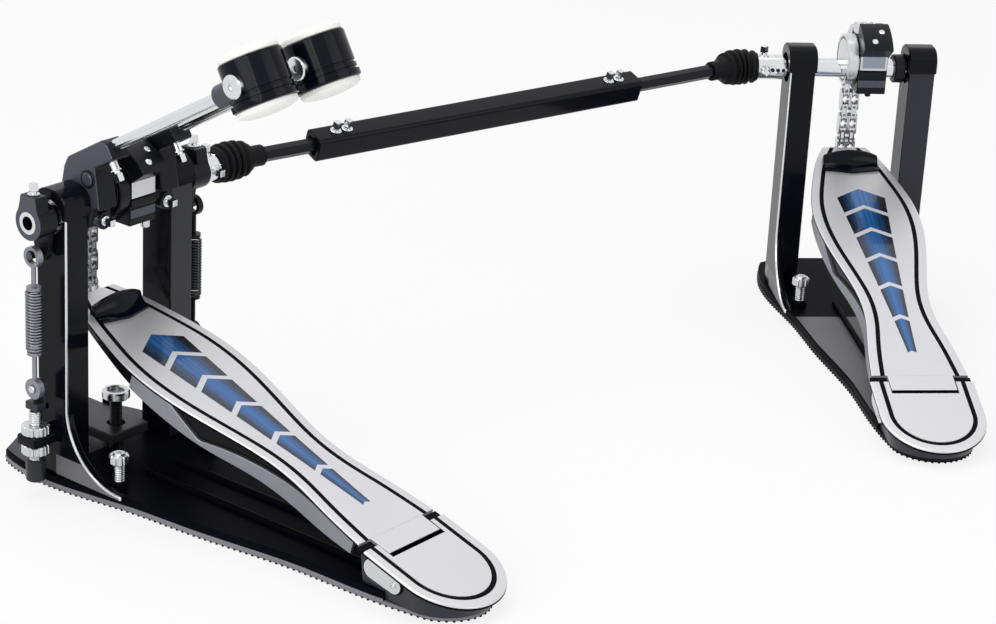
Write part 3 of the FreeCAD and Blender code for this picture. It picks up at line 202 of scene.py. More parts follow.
FINISHES = {
    # Bead-blasted aluminium under clear lacquer: pale and even, with a fine sparkle and a broad soft
    # highlight. Its 0.3 mm grit is drawn at 0.9 mm so that it shows.
    "bead_blasted_aluminium": Finish("satin", 0.9, 0.012, (0.3, 0.44), 0.03, metal=0.6),
    # Cast aluminium, tumbled: greyer than the top plate, with broad uneven gloss. On the rails the grey is
    # partly painted shade, darkened overall for their downward-facing sides.
    "tumbled_aluminium": Finish("rail", 1.4, 0.02, (0.36, 0.5), 0.06, metal=0.8),
    # Stoved gloss enamel on steel: deep black with a cool cast, smooth, with a faint orange peel of 3 mm.
    "stoved_black_enamel": Finish("enamel", 3.0, 0.008, (0.1, 0.18), 0.2, level=0.14, ior=1.45),
    # Matt black enamel on rolled plate: deep black that hardly mirrors the room.
    "matt_black_enamel": Finish("enamel", 3.0, 0.008, (0.3, 0.4), 0.2, level=0.01, ior=1.45),
    # Semi-gloss enamel on a casting: dark slate with a soft sheen. On the right posts' fronts it is painted
    # light, and on the main plate's front a painted reflection.
    "semi_gloss_slate_enamel": Finish("slate", 1.6, 0.015, (0.3, 0.42), 0.1, level=0.4, ior=1.45),
    # Painted zinc casting: near black, satin, slightly metallic, with a pebbled skin of about 1 mm.
    "satin_black_zinc": Finish("zinc", 1.2, 0.01, (0.26, 0.38), 0.12, metal=0.25, level=0.2),
    # The same casting in a lighter slate with a soft sheen: painted light on the outer sides of hubs and
    # rockers and on the hub discs' buttons; also used on the cam's lowest block and the beater necks.
    "rubbed_slate_zinc": Finish("cast", 1.2, 0.01, (0.3, 0.42), 0.1, metal=0.3),
    # Ground steel: cool grey, with fine marks across, drawn at 0.8 mm.
    "ground_steel": Finish("steel", 0.8, 0.004, (0.26, 0.4), 0.06, metal=0.9, stretch=(1, 1, 6)),
    # Chromed steel: bright, with a hair-fine unevenness of its gloss, drawn at 0.8 mm.
    "chromed_steel": Finish("chrome", 0.8, 0.0, (0.08, 0.18), metal=1.0),
    # Nickel-plated steel: a little warmer and duller than chrome.
    "nickel_plated_steel": Finish("nickel", 0.9, 0.001, (0.18, 0.32), 0.06, metal=1.0),
    # Spring wire of the right spring, darker as painted shade: dark grey metal with a patchy gloss.
    "oiled_spring_wire": Finish("wire", 0.7, 0.004, (0.24, 0.4), 0.15, metal=0.9),
    # Spring wire of the left spring, lighter as painted light: mid grey metal with the same gloss.
    "drawn_spring_wire": Finish("drawn", 0.7, 0.004, (0.24, 0.4), 0.15, metal=0.9),
    # Painted highlight on the left posts' front-left edges: bright metal standing for the thin shining line
    # of light along them.
    "rubbed_bright_edge": Finish("chrome", 0.8, 0.0, (0.22, 0.36), metal=1.0),
    # Semi-gloss grey enamel on rolled plate, mid grey with a soft sheen: a painted reflection on the second
    # plate's rear and on the posts' feet.
    "semi_gloss_grey_enamel": Finish("plate", 2.0, 0.01, (0.34, 0.46), 0.1, level=0.3, ior=1.45),
    # Moulded rubber: matt black, dusty in its pores of 0.7 mm.
    "moulded_rubber": Finish("rubber", 0.7, 0.03, (0.46, 0.66), 0.25, level=0.12),
    # The main mat's grey rubber: matt, with the same pores.
    "grey_mat_rubber": Finish("mat", 0.7, 0.03, (0.5, 0.7), 0.2, level=0.2),
    # Polished ABS: black with sharp highlights.
    "polished_black_abs": Finish("plastic", 4.0, 0.012, (0.1, 0.2), 0.2, level=0.13),
    # Pressed felt under a wipe of white: matt, fuzzy, with fibres of about 0.6 mm.
    "pressed_white_felt": Finish("face", 0.6, 0.08, (0.78, 0.95), 0.03, sheen=0.25),
    # Line paint: matt black filled into the engraved lines; also painted shade at the tongue's end, in the
    # heel pockets, under the heel rims and in the strips beside the tongue.
    "line_paint": Finish("line", 0.8, 0.01, (0.5, 0.7), level=0.05),
}


def make_finishes():
    """Noise at the real grain size gives each finish its bump and gloss; broad clouds move its colour."""
    for name, row in FINISHES.items():
        tint = getattr(colours(), row.tint)
        values = {"Metallic": row.metal, "Roughness": sum(row.rough) / 2, "IOR": row.ior,
                  "Specular IOR Level": row.level, "Sheen Weight": row.sheen}
        tree, shader = new_finish(name, tint, **values)
        place = add(tree, "ShaderNodeTexCoord").outputs["Object"]
        mapped = add(tree, "ShaderNodeMapping", {"Scale": row.stretch}, {"Vector": place}).outputs["Vector"]
        noise = add(tree, "ShaderNodeTexNoise", {"Scale": 1 / (row.grain * MM), "Detail": 3.0},
                    {"Vector": mapped}).outputs["Fac"]
        if row.depth:
            bump = add(tree, "ShaderNodeBump", {"Strength": 1.0, "Distance": row.depth * MM},
                       {"Height": noise})
            tree.links.new(bump.outputs["Normal"], shader.inputs["Normal"])
        gloss = add(tree, "ShaderNodeMapRange", {"To Min": row.rough[0], "To Max": row.rough[1]},
                    {"Value": noise})
        tree.links.new(gloss.outputs["Result"], shader.inputs["Roughness"])
        if row.wander:
            cloud = add(tree, "ShaderNodeTexNoise", {"Scale": 1 / (CLOUD_MM * MM), "Detail": 4.0},
                        {"Vector": place})
            span = [[min(1, value * share) for value in tint] for share in (1 - row.wander, 1 + row.wander)]
            mix = add(tree, "ShaderNodeMix", {socket: (*end, 1) for socket, end in zip(MIX_COLOURS, span)},
                      {0: cloud.outputs["Fac"]}, data_type="RGBA")
            tree.links.new(mix.outputs[MIX_RESULT], shader.inputs["Base Color"])
    make_lacquer(colours())


LACQUER = {"Roughness": 0.2, "Metallic": 0.35, "Coat Weight": 0.6, "Coat Roughness": 0.05}
LACQUER_STOPS = (0.1, 0.55)
LACQUER_GLOW = {"From Min": 1.0, "From Max": 0.15}
STREAK_SCALE = (9.0, 0.8, 1.0)


def make_lacquer(tints):
    """Translucent lacquer on metal: dark at its borders, blue in the middle, streaked along the board."""
    tree, shader = new_finish("blue_lacquer", tints.lacquer, **LACQUER)
    place = add(tree, "ShaderNodeUVMap", uv_map="board")
    parts = add(tree, "ShaderNodeSeparateXYZ", links={"Vector": place.outputs["UV"]})
    drawn_out = add(tree, "ShaderNodeMapping", {"Scale": STREAK_SCALE}, {"Vector": place.outputs["UV"]})
    streak = add(tree, "ShaderNodeTexNoise", {"Scale": 1.0, "Detail": 2.0},
                 {"Vector": drawn_out.outputs["Vector"]})
    side = add(tree, "ShaderNodeMath", links={0: parts.outputs["X"]}, operation="ABSOLUTE")
    glow = add(tree, "ShaderNodeMapRange", LACQUER_GLOW, {"Value": side.outputs[0]})
    bright = add(tree, "ShaderNodeMath", links={0: glow.outputs["Result"], 1: streak.outputs["Fac"]},
                 operation="MULTIPLY")
    ramp = add(tree, "ShaderNodeValToRGB", links={"Fac": bright.outputs[0]})
    stops = zip(ramp.color_ramp.elements, LACQUER_STOPS, (tints.lacquer_edge, tints.lacquer))
    for stop, spot, tint in stops:
        stop.position = spot
        stop.color = (*tint, 1)
    tree.links.new(ramp.outputs["Color"], shader.inputs["Base Color"])


def finish(name):
    return bpy.data.materials[name]


# Meshes. All builders work in millimetres.

def curve_through(points):
    """Natural cubic spline through (place, value) pairs; returns a function of place."""
    xs = [point[0] for point in points]
    ys = [point[1] for point in points]
    count = len(xs)
    steps = [xs[i + 1] - xs[i] for i in range(count - 1)]
    upper = [0.0] * count
    right = [0.0] * count
    for i in range(1, count - 1):
        slope = 3 * ((ys[i + 1] - ys[i]) / steps[i] - (ys[i] - ys[i - 1]) / steps[i - 1])
        pivot = 2 * (xs[i + 1] - xs[i - 1]) - steps[i - 1] * upper[i - 1]
        upper[i] = steps[i] / pivot
        right[i] = (slope - steps[i - 1] * right[i - 1]) / pivot
    bend = [0.0] * count
    for i in range(count - 2, 0, -1):
        bend[i] = right[i] - upper[i] * bend[i + 1]

    def value(x):
        i = max(0, min(count - 2, sum(1 for place in xs if place <= x) - 1))
        d = x - xs[i]
        slope = (ys[i + 1] - ys[i]) / steps[i] - steps[i] * (bend[i + 1] + 2 * bend[i]) / 3
        return ys[i] + slope * d + bend[i] * d * d + (bend[i + 1] - bend[i]) / (3 * steps[i]) * d ** 3

    return value


def spaced(start, end, count):
    """Places from start to end in a number of equal steps."""
    return [start + (end - start) * step / count for step in range(count + 1)]


def stations(start, end, step):
    return spaced(start, end, max(1, round((end - start) / step)))


def across(side, inner, outer):
    """Left and right limit of a span that is given for the right side."""
    return sorted((side * inner, side * outer))


def rim_rows(left, right, rim):
    """Places across a block with chamfered rims, each with how far its outline shrinks there."""
    return (left, rim), (left + rim, 0), (right - rim, 0), (right, rim)


def shaped(*builders):
    """A new mesh that every builder adds to."""
    bm = bmesh.new()
    for build in builders:
        build(bm)
    return bm


def loft(bm, rings, caps=True, paint=0):
    """Quads between closed rings of points; paint is a material or a function that gives a column's."""
    choose = paint if callable(paint) else lambda column: paint
    rows = [[bm.verts.new(point) for point in ring] for ring in rings]
    columns = len(rows[0])
    for low, high in zip(rows, rows[1:]):
        for column in range(columns):
            after = (column + 1) % columns
            face = bm.faces.new((low[column], low[after], high[after], high[column]))
            face.material_index = choose(column)
    if caps:
        for row in (rows[0][::-1], rows[-1]):
            bm.faces.new(row).material_index = choose(0)


def lathe(bm, profile, place, segments=40, material=0):
    """Turns a profile of (radius, height) pairs about the local Z axis."""
    turns = spaced(0, 2 * math.pi, segments)[:-1]
    rings = [[place @ Vector((radius * math.cos(turn), radius * math.sin(turn), height)) for turn in turns]
             for radius, height in profile]
    loft(bm, rings, caps=False, paint=material)


def tube_profile(inner, outer, low, high, low_cut=None, high_cut=None):
    """Closed lathe profile of a ring; the cuts are its chamfers as (radial, axial) sizes."""
    rows = [(outer, low)]
    if low_cut:
        rows = [(outer - low_cut[0], low), (outer, low + low_cut[1])]
    rows += [(outer, high - high_cut[1]), (outer - high_cut[0], high)] if high_cut else [(outer, high)]
    return [(inner, low), *rows, (inner, high), (inner, low)]


def drum_profile(radius, low, high, low_cut=None, high_cut=None):
    """Lathe profile of a solid drum, with the same chamfers."""
    return tube_profile(0, radius, low, high, low_cut, high_cut)[:-1]


ROUND_SHARE = 0.3


def rounded(profile, radius, corners):
    """Replaces the named corners of a lathe profile by three-point rounds."""
    result = []
    for index, point in enumerate(profile):
        if index not in corners:
            result.append(point)
            continue
        here = Vector(point)
        before = (Vector(profile[index - 1]) - here).normalized() * radius
        after = (Vector(profile[index + 1]) - here).normalized() * radius
        result += [tuple(here + before), tuple(here + (before + after) * ROUND_SHARE), tuple(here + after)]
    return result


def axis_place(point, direction):
    """Matrix whose local Z runs along a direction from a point."""
    turn = Vector(direction).to_track_quat("Z", "Y").to_matrix().to_4x4()
    return Matrix.Translation(Vector(point)) @ turn


def block(bm, low, high, place=MAIN, edge=0.6, material=0):
    """A box with rounded edges."""
    before = set(bm.faces)
    made = bmesh.ops.create_cube(bm, size=1.0)["verts"]
    size = Vector(high) - Vector(low)
    middle = (Vector(high) + Vector(low)) / 2
    for vert in made:
        vert.co = Vector(vert.co[i] * size[i] + middle[i] for i in range(3))
    edges = list({line for vert in made for line in vert.link_edges})
    bmesh.ops.bevel(bm, geom=edges, offset=edge, segments=2, profile=0.5, affect="EDGES")
    fresh = [face for face in bm.faces if face not in before]
    for vert in {vert for face in fresh for vert in face.verts}:
        vert.co = place @ vert.co
    for face in fresh:
        face.material_index = material


def cut(bm, spot, way):
    """Splits the faces that a plane crosses."""
    bmesh.ops.bisect_plane(bm, geom=bm.verts[:] + bm.edges[:] + bm.faces[:], plane_co=spot, plane_no=way)


WELD = 0.001


def piece(name, bm, finishes, body, nodes=(), sharp=32, place=MAIN):
    """Makes an object of a mesh built in millimetres, lets it ride a body and stand for CAD nodes."""
    bm.transform(place)
    bmesh.ops.remove_doubles(bm, verts=bm.verts, dist=WELD)
    bmesh.ops.recalc_face_normals(bm, faces=bm.faces)
    bm.transform(Matrix.Scale(MM, 4))
    mesh = bpy.data.meshes.new(name)
    bm.to_mesh(mesh)
    bm.free()
    return dress(name, mesh, finishes, body, nodes, sharp)


def dress(name, mesh, finishes, body, nodes=(), sharp=32):
    """Gives a mesh its finishes, smooth shading with flat faces kept flat, and its place in the frame."""
    mesh.name = name
    for index, finish_name in enumerate(finishes):
        if index < len(mesh.materials):
            mesh.materials[index] = finish(finish_name)
        else:
            mesh.materials.append(finish(finish_name))
    mesh.shade_smooth()
    mesh.set_sharp_from_angle(angle=math.radians(sharp))
    made = bpy.data.objects.new(name, mesh)
    bpy.context.scene.collection.objects.link(made)
    weigh = made.modifiers.new("flat faces stay flat", "WEIGHTED_NORMAL")
    weigh.keep_sharp = True
    depsgraph = bpy.context.evaluated_depsgraph_get()
    weighed = bpy.data.meshes.new_from_object(made.evaluated_get(depsgraph), preserve_all_data_layers=True,
                                              depsgraph=depsgraph)
    made.modifiers.remove(weigh)
    made.data = weighed
    bpy.data.meshes.remove(mesh)
    weighed.name = name
    if body:
        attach(made, body)
    if nodes:
        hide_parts(*nodes)
    return made


# Limits for the copies of CAD nodes: joined points, faces taken as one plane, edges that are rounded
COPY_WELD = 0.002
PLANE_ANGLE = math.radians(0.6)
EDGE_ANGLE = math.radians(28)
EDGE_LEAST = 2.2


def softened(bm, node, edge):
    """Copies a CAD node's mesh with its planar faces joined and its long edges rounded."""
    copy = bmesh.new()
    copy.from_mesh(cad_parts[node].data)
    copy.transform(Matrix.Scale(1 / MM, 4))
    bmesh.ops.remove_doubles(copy, verts=copy.verts, dist=COPY_WELD)
    bmesh.ops.dissolve_limit(copy, angle_limit=PLANE_ANGLE, verts=copy.verts, edges=copy.edges)
    if edge:
        sharp = [line for line in copy.edges if len(line.link_faces) == 2
                 and line.calc_face_angle(0) > EDGE_ANGLE and line.calc_length() > edge * EDGE_LEAST]
        bmesh.ops.bevel(copy, geom=sharp, offset=edge, segments=2, profile=0.5, affect="EDGES",
                        clamp_overlap=False)
    mesh = bpy.data.meshes.new("softened")
    copy.to_mesh(mesh)
    copy.free()
    bm.from_mesh(mesh)
    bpy.data.meshes.remove(mesh)


def shell(node, body, finishes, edge, choose=None):
    """Stands for a CAD node with a copy of it whose edges are rounded; choose gives a face's finish."""
    bm = bmesh.new()
    softened(bm, node, edge)
    if choose:
        for face in bm.faces:
            face.material_index = choose(face)
    return piece(node + "_shell", bm, finishes, body, (node,))


# Geometry Nodes

def node_tree(name, inputs):
    """A Geometry Nodes tree with named inputs; returns the tree, its input node and its output node."""
    tree = bpy.data.node_groups.new(name, "GeometryNodeTree")
    tree.interface.new_socket(name="Geometry", in_out="INPUT", socket_type="NodeSocketGeometry")
    for label, kind in inputs:
        tree.interface.new_socket(name=label, in_out="INPUT", socket_type="NodeSocket" + kind)
    tree.interface.new_socket(name="Geometry", in_out="OUTPUT", socket_type="NodeSocketGeometry")
    return tree, add(tree, "NodeGroupInput").outputs, add(tree, "NodeGroupOutput")


def end_tree(tree, source, given, out):
    """Every tree ends in Realize Instances and Set Material."""
    real = add(tree, "GeometryNodeRealizeInstances", links={"Geometry": source})
    painted = add(tree, "GeometryNodeSetMaterial", links={"Geometry": real.outputs["Geometry"],
                                                          "Material": given["Finish"]})
    tree.links.new(painted.outputs["Geometry"], out.inputs["Geometry"])


def grow(tree, source, **values):
    """Runs a tree on a source mesh and returns the result as a plain mesh."""
    holder = bpy.data.objects.new("holder", source)
    bpy.context.scene.collection.objects.link(holder)
    modifier = holder.modifiers.new("nodes", "NODES")
    modifier.node_group = tree
    for item in tree.interface.items_tree:
        label = item.name.replace(" ", "_").lower()
        if item.in_out == "INPUT" and label in values:
            modifier[item.identifier] = values[label]
    evaluated = holder.evaluated_get(bpy.context.evaluated_depsgraph_get())
    mesh = bpy.data.meshes.new_from_object(evaluated)
    mesh.materials.clear()
    mesh.materials.append(values["finish"])
    holder.modifiers.remove(modifier)
    bpy.data.objects.remove(holder)
    return mesh


def points_mesh(points, directions=None):
    """Loose points in metres, with a direction stored on each."""
    mesh = bpy.data.meshes.new("points")
    mesh.from_pydata([Vector(point) * MM for point in points], [], [])
    if directions:
        stored = mesh.attributes.new("direction", "FLOAT_VECTOR", "POINT")
        for item, direction in zip(stored.data, directions):
            item.vector = Vector(direction)
    return mesh


# Drums that make up a drive-key screw, in shares of its head: foot, height, lower and upper radius, sides
KEY_SCREW_DRUMS = ((0.0, 0.18, 0.86, 0.90, 28), (0.18, 0.10, 0.90, 0.62, 28), (0.28, 0.28, 0.52, 0.50, 28),
                   (0.52, 0.12, 0.58, 0.70, 4), (0.64, 1.06, 0.70, 0.68, 4), (1.70, 0.12, 0.68, 0.52, 4))


def key_screw_tree():
    """Drive-key screws: a flange, a neck and a square head with a chamfer, on every point."""
    tree, given, out = node_tree("drive_key_screws", (("Head", "Float"), ("Finish", "Material")))
    joined = add(tree, "GeometryNodeJoinGeometry")

    def heads(share):
        return add(tree, "ShaderNodeMath", {1: share}, {0: given["Head"]}, operation="MULTIPLY").outputs[0]

    for foot, height, low, high, sides in KEY_SCREW_DRUMS:
        cone = add(tree, "GeometryNodeMeshCone", {"Vertices": sides},
                   {"Radius Bottom": heads(low), "Radius Top": heads(high), "Depth": heads(height)})
        lift = add(tree, "ShaderNodeCombineXYZ", links={"Z": heads(foot)})
        turn = math.pi / 4 if sides == 4 else 0.0
        moved = add(tree, "GeometryNodeTransform", {"Rotation": (0, 0, turn)},
                    {"Geometry": cone.outputs["Mesh"], "Translation": lift.outputs["Vector"]})
        tree.links.new(moved.outputs["Geometry"], joined.inputs["Geometry"])
    stored = add(tree, "GeometryNodeInputNamedAttribute", {"Name": "direction"}, data_type="FLOAT_VECTOR")
    turn = add(tree, "FunctionNodeAlignRotationToVector", links={"Vector": stored.outputs["Attribute"]},
               axis="Z")
    placed = add(tree, "GeometryNodeInstanceOnPoints",
                 links={"Points": given["Geometry"], "Instance": joined.outputs["Geometry"],
                        "Rotation": turn.outputs["Rotation"]})
    end_tree(tree, placed.outputs["Instances"], given, out)
    return tree


def coil_tree():
    """A spring: a spiral swept by a round wire."""
    tree, given, out = node_tree("spring_coil", (("Turns", "Float"), ("Coil radius", "Float"),
                                                 ("Wire radius", "Float"), ("Height", "Float"),
                                                 ("Finish", "Material")))
    path = add(tree, "GeometryNodeCurveSpiral", {"Resolution": 32},
               {"Rotations": given["Turns"], "Start Radius": given["Coil radius"],
                "End Radius": given["Coil radius"], "Height": given["Height"]})
    wire = add(tree, "GeometryNodeCurvePrimitiveCircle", {"Resolution": 12},
               {"Radius": given["Wire radius"]})
    swept = add(tree, "GeometryNodeCurveToMesh", {"Fill Caps": True},
                {"Curve": path.outputs["Curve"], "Profile Curve": wire.outputs["Curve"]})
    end_tree(tree, swept.outputs["Mesh"], given, out)
    return tree


def rib_tree():
    """Upright half-round ribs, evenly spaced along an outline."""
    tree, given, out = node_tree("mat_edge_ribs", (("Pitch", "Float"), ("Rib radius", "Float"),
                                                   ("Height", "Float"), ("Finish", "Material")))
    path = add(tree, "GeometryNodeMeshToCurve", links={"Mesh": given["Geometry"]})
    even = add(tree, "GeometryNodeResampleCurve", links={"Curve": path.outputs["Curve"]})
    even.mode = "LENGTH"
    tree.links.new(given["Pitch"], even.inputs["Length"])
    rib = add(tree, "GeometryNodeMeshCylinder", {"Vertices": 12},
              {"Radius": given["Rib radius"], "Depth": given["Height"]})
    placed = add(tree, "GeometryNodeInstanceOnPoints",
                 links={"Points": even.outputs["Curve"], "Instance": rib.outputs["Mesh"]})
    end_tree(tree, placed.outputs["Instances"], given, out)
    return tree


# Footboards

BOARD_HALF_WIDTH = 39.3
BOARD_START = -0.8
OUTLINE_START = 2.0
BOARD_LENGTH = 267.0
BOARD_OUTLINE = ((0.0, 0.85), (0.12, 0.75), (0.206, 0.657), (0.318, 0.644), (0.404, 0.738), (0.532, 0.916),
                 (0.637, 1.0), (0.74, 0.967), (0.845, 0.814), (0.944, 0.61), (1.0, 0.43))
DECK = 5.4
DECK_STEP = 3.0
LIP = 1.9
LIP_CUT = (0.6, 0.5)
LIP_INSET = 3.4
# Rounded upper edge of boards and heels as (inset, depth), from the top to the side
EDGE_ROUND = ((0.9, 0.0), (0.25, 0.25), (0.0, 0.7))
GROOVE_SLOPE = 0.2
# Materials of the deck's columns that aren't pale: engraved line, black line on the edge, underside
DECK_PAINT = {1: 1, 2: 1, 3: 1, 7: 1, 8: 1, 9: 2, 10: 2}
TONGUE = ((-22.8, -16.0, -DECK), (22.8, BOARD_START + 0.5, 0))
# Painted shade: a thin black block on the tongue's end face.
TONGUE_END_SHADE = ((-22.8, -16.2, -DECK), (22.8, -15.2, -0.4))
SKIRT_START = 4.0
SKIRT_END = 258.0
SKIRT_STEP = 4.0
SKIRT_DEPTHS = ((4, 11.6), (27, 14.4), (44, 16.0), (70, 17.6), (94, 18.2), (132, 18.6), (150, 16.8),
                (168, 14.6), (190, 12.6), (225, 10.2), (258, 9.0))
SKIRT_WALL = 1.6
SKIRT_ROUND = 0.5
# Upper edge of the pale rail: it sinks from the heel to a corner, then climbs straight to the deck
RAIL_TOPS = ((4, 2.4), (25, 2.8), (42, 3.6), (62, 5.4), (86, 8.2), (107, 10.4), (122, 13.0), (132, 15.4))
RAIL_CORNER = 132.0
RAIL_CLIMB = 0.5
RAIL_HIGH = 2.4
RAIL_END = 190.0
RAIL_STEP = 3.0
RAIL_INSET = 0.9
RAIL_WALL = 2.6
RAIL_LEAST = 3.0
RAIL_ROUND_TOP = 0.6
RAIL_ROUND_LOW = 0.8

OUTLINE_REACH = BOARD_LENGTH - OUTLINE_START
board_width = curve_through([(OUTLINE_START + along * OUTLINE_REACH, share * BOARD_HALF_WIDTH)
                             for along, share in BOARD_OUTLINE])
skirt_depth = curve_through(SKIRT_DEPTHS)
low_rail = curve_through(RAIL_TOPS)


def engraved_line():
    """Distances of the line's outer and inner side from the edge, and its depth."""
    middle = in_mm(sizes().groove_inset)
    half = in_mm(sizes().groove_width) / 2
    return middle - half, middle + half, in_mm(sizes().groove_depth)


def build_deck(bm):
    """Top plate with an engraved line near its edge: one section lofted along the board."""
    outer, inner, deep = engraved_line()
    rings = []
    for along in stations(BOARD_START, BOARD_LENGTH, DECK_STEP):
        width = board_width(along)
        side = [(0, 0), (width - inner, 0), (width - inner + GROOVE_SLOPE, -deep),
                (width - outer - GROOVE_SLOPE, -deep), (width - outer, 0),
                *((width - inset, -depth) for inset, depth in EDGE_ROUND),
                (width, -LIP), (width - LIP_CUT[0], -LIP - LIP_CUT[1]), (width - LIP_INSET, -DECK)]
        section = side + [(-u, w) for u, w in side[:0:-1]]
        rings.append([Vector((u, along, w)) for u, w in section])
    last = len(rings[0]) - 1
    loft(bm, rings, paint=lambda column: DECK_PAINT.get(min(column, last - column), 0))


def build_tongue(bm):
    block(bm, *TONGUE, edge=0.3)
    # Painted shade on the tongue's end face.
    block(bm, *TONGUE_END_SHADE, edge=0.1, material=1)


def side_walls(bm, places, corners, material):
    """A wall on both sides of the board; corners gives its section at a place along it."""
    for side in (-1, 1):
        rings = [[Vector((side * u, along, w)) for u, w in corners(along)] for along in places]
        loft(bm, rings, paint=material)


def skirt_corners(along):
    """Section of the dark recessed wall under the deck's edge."""
    out = board_width(along) - LIP_INSET
    low = -skirt_depth(along)
    return ((out, -DECK), (out, low + SKIRT_ROUND), (out - SKIRT_ROUND, low), (out - SKIRT_WALL, low),
            (out - SKIRT_WALL, -DECK))


def rail_top(along):
    if along <= RAIL_CORNER:
        return low_rail(along)
    return max(RAIL_HIGH, low_rail(RAIL_CORNER) - RAIL_CLIMB * (along - RAIL_CORNER))


def rail_corners(along):
    """Section of the pale rail, which runs low and swells up to the deck."""
    out = board_width(along) - RAIL_INSET
    low = -skirt_depth(along)
    top = -min(rail_top(along), -low - RAIL_LEAST)
    return ((out - RAIL_WALL, top), (out - RAIL_ROUND_TOP, top), (out, top - RAIL_ROUND_TOP),
            (out, low + RAIL_ROUND_LOW), (out - RAIL_ROUND_LOW, low), (out - RAIL_WALL, low))


def build_sides(bm):
    """Dark recessed walls under the deck's edge, and the pale rails outside them."""
    side_walls(bm, stations(SKIRT_START, SKIRT_END, SKIRT_STEP), skirt_corners, material=2)
    side_walls(bm, stations(SKIRT_START, RAIL_END, RAIL_STEP), rail_corners, material=3)


CHEVRON_LOW = 26.0
CHEVRON_HIGH = 214.0
CHEVRON_GAP = 4.5
CHEVRON_RISE = 11.0
CHEVRON_NARROW = 3.2
CHEVRON_WIDE = 18.0
CHEVRON_SHRINK = 0.09
CHEVRON_POWER = 1.15
CHEVRON_ROWS = 6
CHEVRON_COLUMNS = 8
CHEVRON_TOP = 0.16
CHEVRON_BOTTOM = -0.5
STREAK_LENGTH = 100.0


def grid_rim(grid):
    """Points round the edge of a grid, in order."""
    return (grid[0] + [row[-1] for row in grid[1:]] + grid[-1][-2::-1]
            + [row[0] for row in grid[-2:0:-1]])


def build_chevrons(bm):
    """Lacquered chevrons that widen towards the toe, each a thin plate let into the deck."""
    layer = bm.loops.layers.uv.new("board")
    count = sizes().chevrons
    weights = [1.0 - CHEVRON_SHRINK * index for index in range(count)]
    room = CHEVRON_HIGH - CHEVRON_LOW - CHEVRON_GAP * (count - 1)
    low = CHEVRON_LOW
    for weight in weights:
        tall = room * weight / sum(weights)
        rows = []
        for along in spaced(low, low + tall, CHEVRON_ROWS):
            share = (along - CHEVRON_LOW) / (CHEVRON_HIGH - CHEVRON_LOW)
            half = CHEVRON_NARROW + (CHEVRON_WIDE - CHEVRON_NARROW) * share ** CHEVRON_POWER
            lift = CHEVRON_RISE * half / CHEVRON_WIDE
            rows.append([(u, half * u, along - lift * abs(u)) for u in spaced(-1, 1, CHEVRON_COLUMNS)])
        rims = []
        for height, order in ((CHEVRON_TOP, 1), (CHEVRON_BOTTOM, -1)):
            grid = [[bm.verts.new((x, y, height)) for _, x, y in row] for row in rows]
            rims.append(grid_rim(grid))
            for row in range(CHEVRON_ROWS):
                for column in range(CHEVRON_COLUMNS):
                    corners = ((row, column), (row, column + 1), (row + 1, column + 1), (row + 1, column))
                    face = bm.faces.new([grid[i][j] for i, j in corners][::order])
                    for loop, (i, j) in zip(face.loops, corners[::order]):
                        loop[layer].uv = (rows[i][j][0], rows[i][j][2] / STREAK_LENGTH)
        top, base = rims
        for index in range(len(top)):
            after = (index + 1) % len(top)
            bm.faces.new((top[after], top[index], base[index], base[after]))
        low += tall + CHEVRON_GAP


class PEDAL_OT_footboards(bpy.types.Operator):
    """Build both footboards with their engraved line, skirts, rails and lacquered chevrons"""
    bl_idname = "pedal.footboards"
    bl_label = "Footboards"

    def execute(self, context):
        finishes = ("bead_blasted_aluminium", "line_paint", "stoved_black_enamel", "tumbled_aluminium")
        for prefix, _, place in PEDALS:
            body = prefix + "_footboard"
            piece(prefix + "_board", shaped(build_deck, build_tongue, build_sides), finishes, body, (body,),
                  sharp=24, place=place @ BOARD)
            piece(prefix + "_chevrons", shaped(build_chevrons), ("blue_lacquer",), body,
                  place=place @ BOARD)
        return {"FINISHED"}


# Heel plates

HEEL_HALF = 36.0
HEEL_FRONT = -237.7
HEEL_EAR = -243.2
HEEL_STRAIGHT = -278.0
HEEL_NOSE = -312.0
HEEL_NOSE_STEPS = 36
HEEL_EAR_STEPS = 6
HEEL_RIM = 3.0
HEEL_RIM_CUT = (0.5, 0.6)
# From the next depth down, the heel rim's side is black as a painted shadow line under the top plate; the
# columns after it are that shadow line and the engraved line.
HEEL_SHADOW_LINE_DEPTH = 1.2
HEEL_GROOVE_AND_SHADOW_COLUMNS = (0, 1, 6, 7)
HEEL_FOOT_Z = 3.1
HEEL_BODY_INSET = 3.6
HEEL_FOOT_INSET = 7.0
# Painted shadow: a dark strip between the ears and the board: inset, then (y, z) of its corners on the
# board's slope
SHADOW_INSET = 1.0
SHADOW_LOW = (HEEL_EAR - BOARD_HINGE.y - 0.6, -HEEL_RIM - 0.6)
SHADOW_HIGH = (HEEL_FRONT - BOARD_HINGE.y, -1.3)
POCKET_HALF = 23.4
POCKET_BACK = -255.0
CAP_SEAT = 28.5
CAP_FACE = 33.5
CAP_FRONT = (-247.505, 22.02, 6.5)
CAP_REAR = (-264.005, 17.04, 5.5)
CAP_BORDER = 0.9
CAP_STEPS = 12
# Layers of a hinge cap: material, and rows of (distance from the middle, growth of the outline)
CAP_LAYERS = ((1, ((CAP_SEAT, CAP_BORDER), (CAP_FACE - 1.6, CAP_BORDER),
                   (CAP_FACE - 1.2, CAP_BORDER - 0.4))),
              (0, ((CAP_SEAT, 0.0), (CAP_FACE - 0.7, 0.0), (CAP_FACE - 0.2, -0.25), (CAP_FACE, -0.8))))
HINGE_SCREW = ((0, 0), (2.2, 0), (2.2, 0.6), (1.8, 1.0), (1.1, 1.0), (1.0, 0.2), (0, 0.2))
HINGE_PIN = drum_profile(3.0, -28.0, 28.0)
HINGE_PIN_PLACE = axis_place((0, -243.005, 25.0), (1, 0, 0))


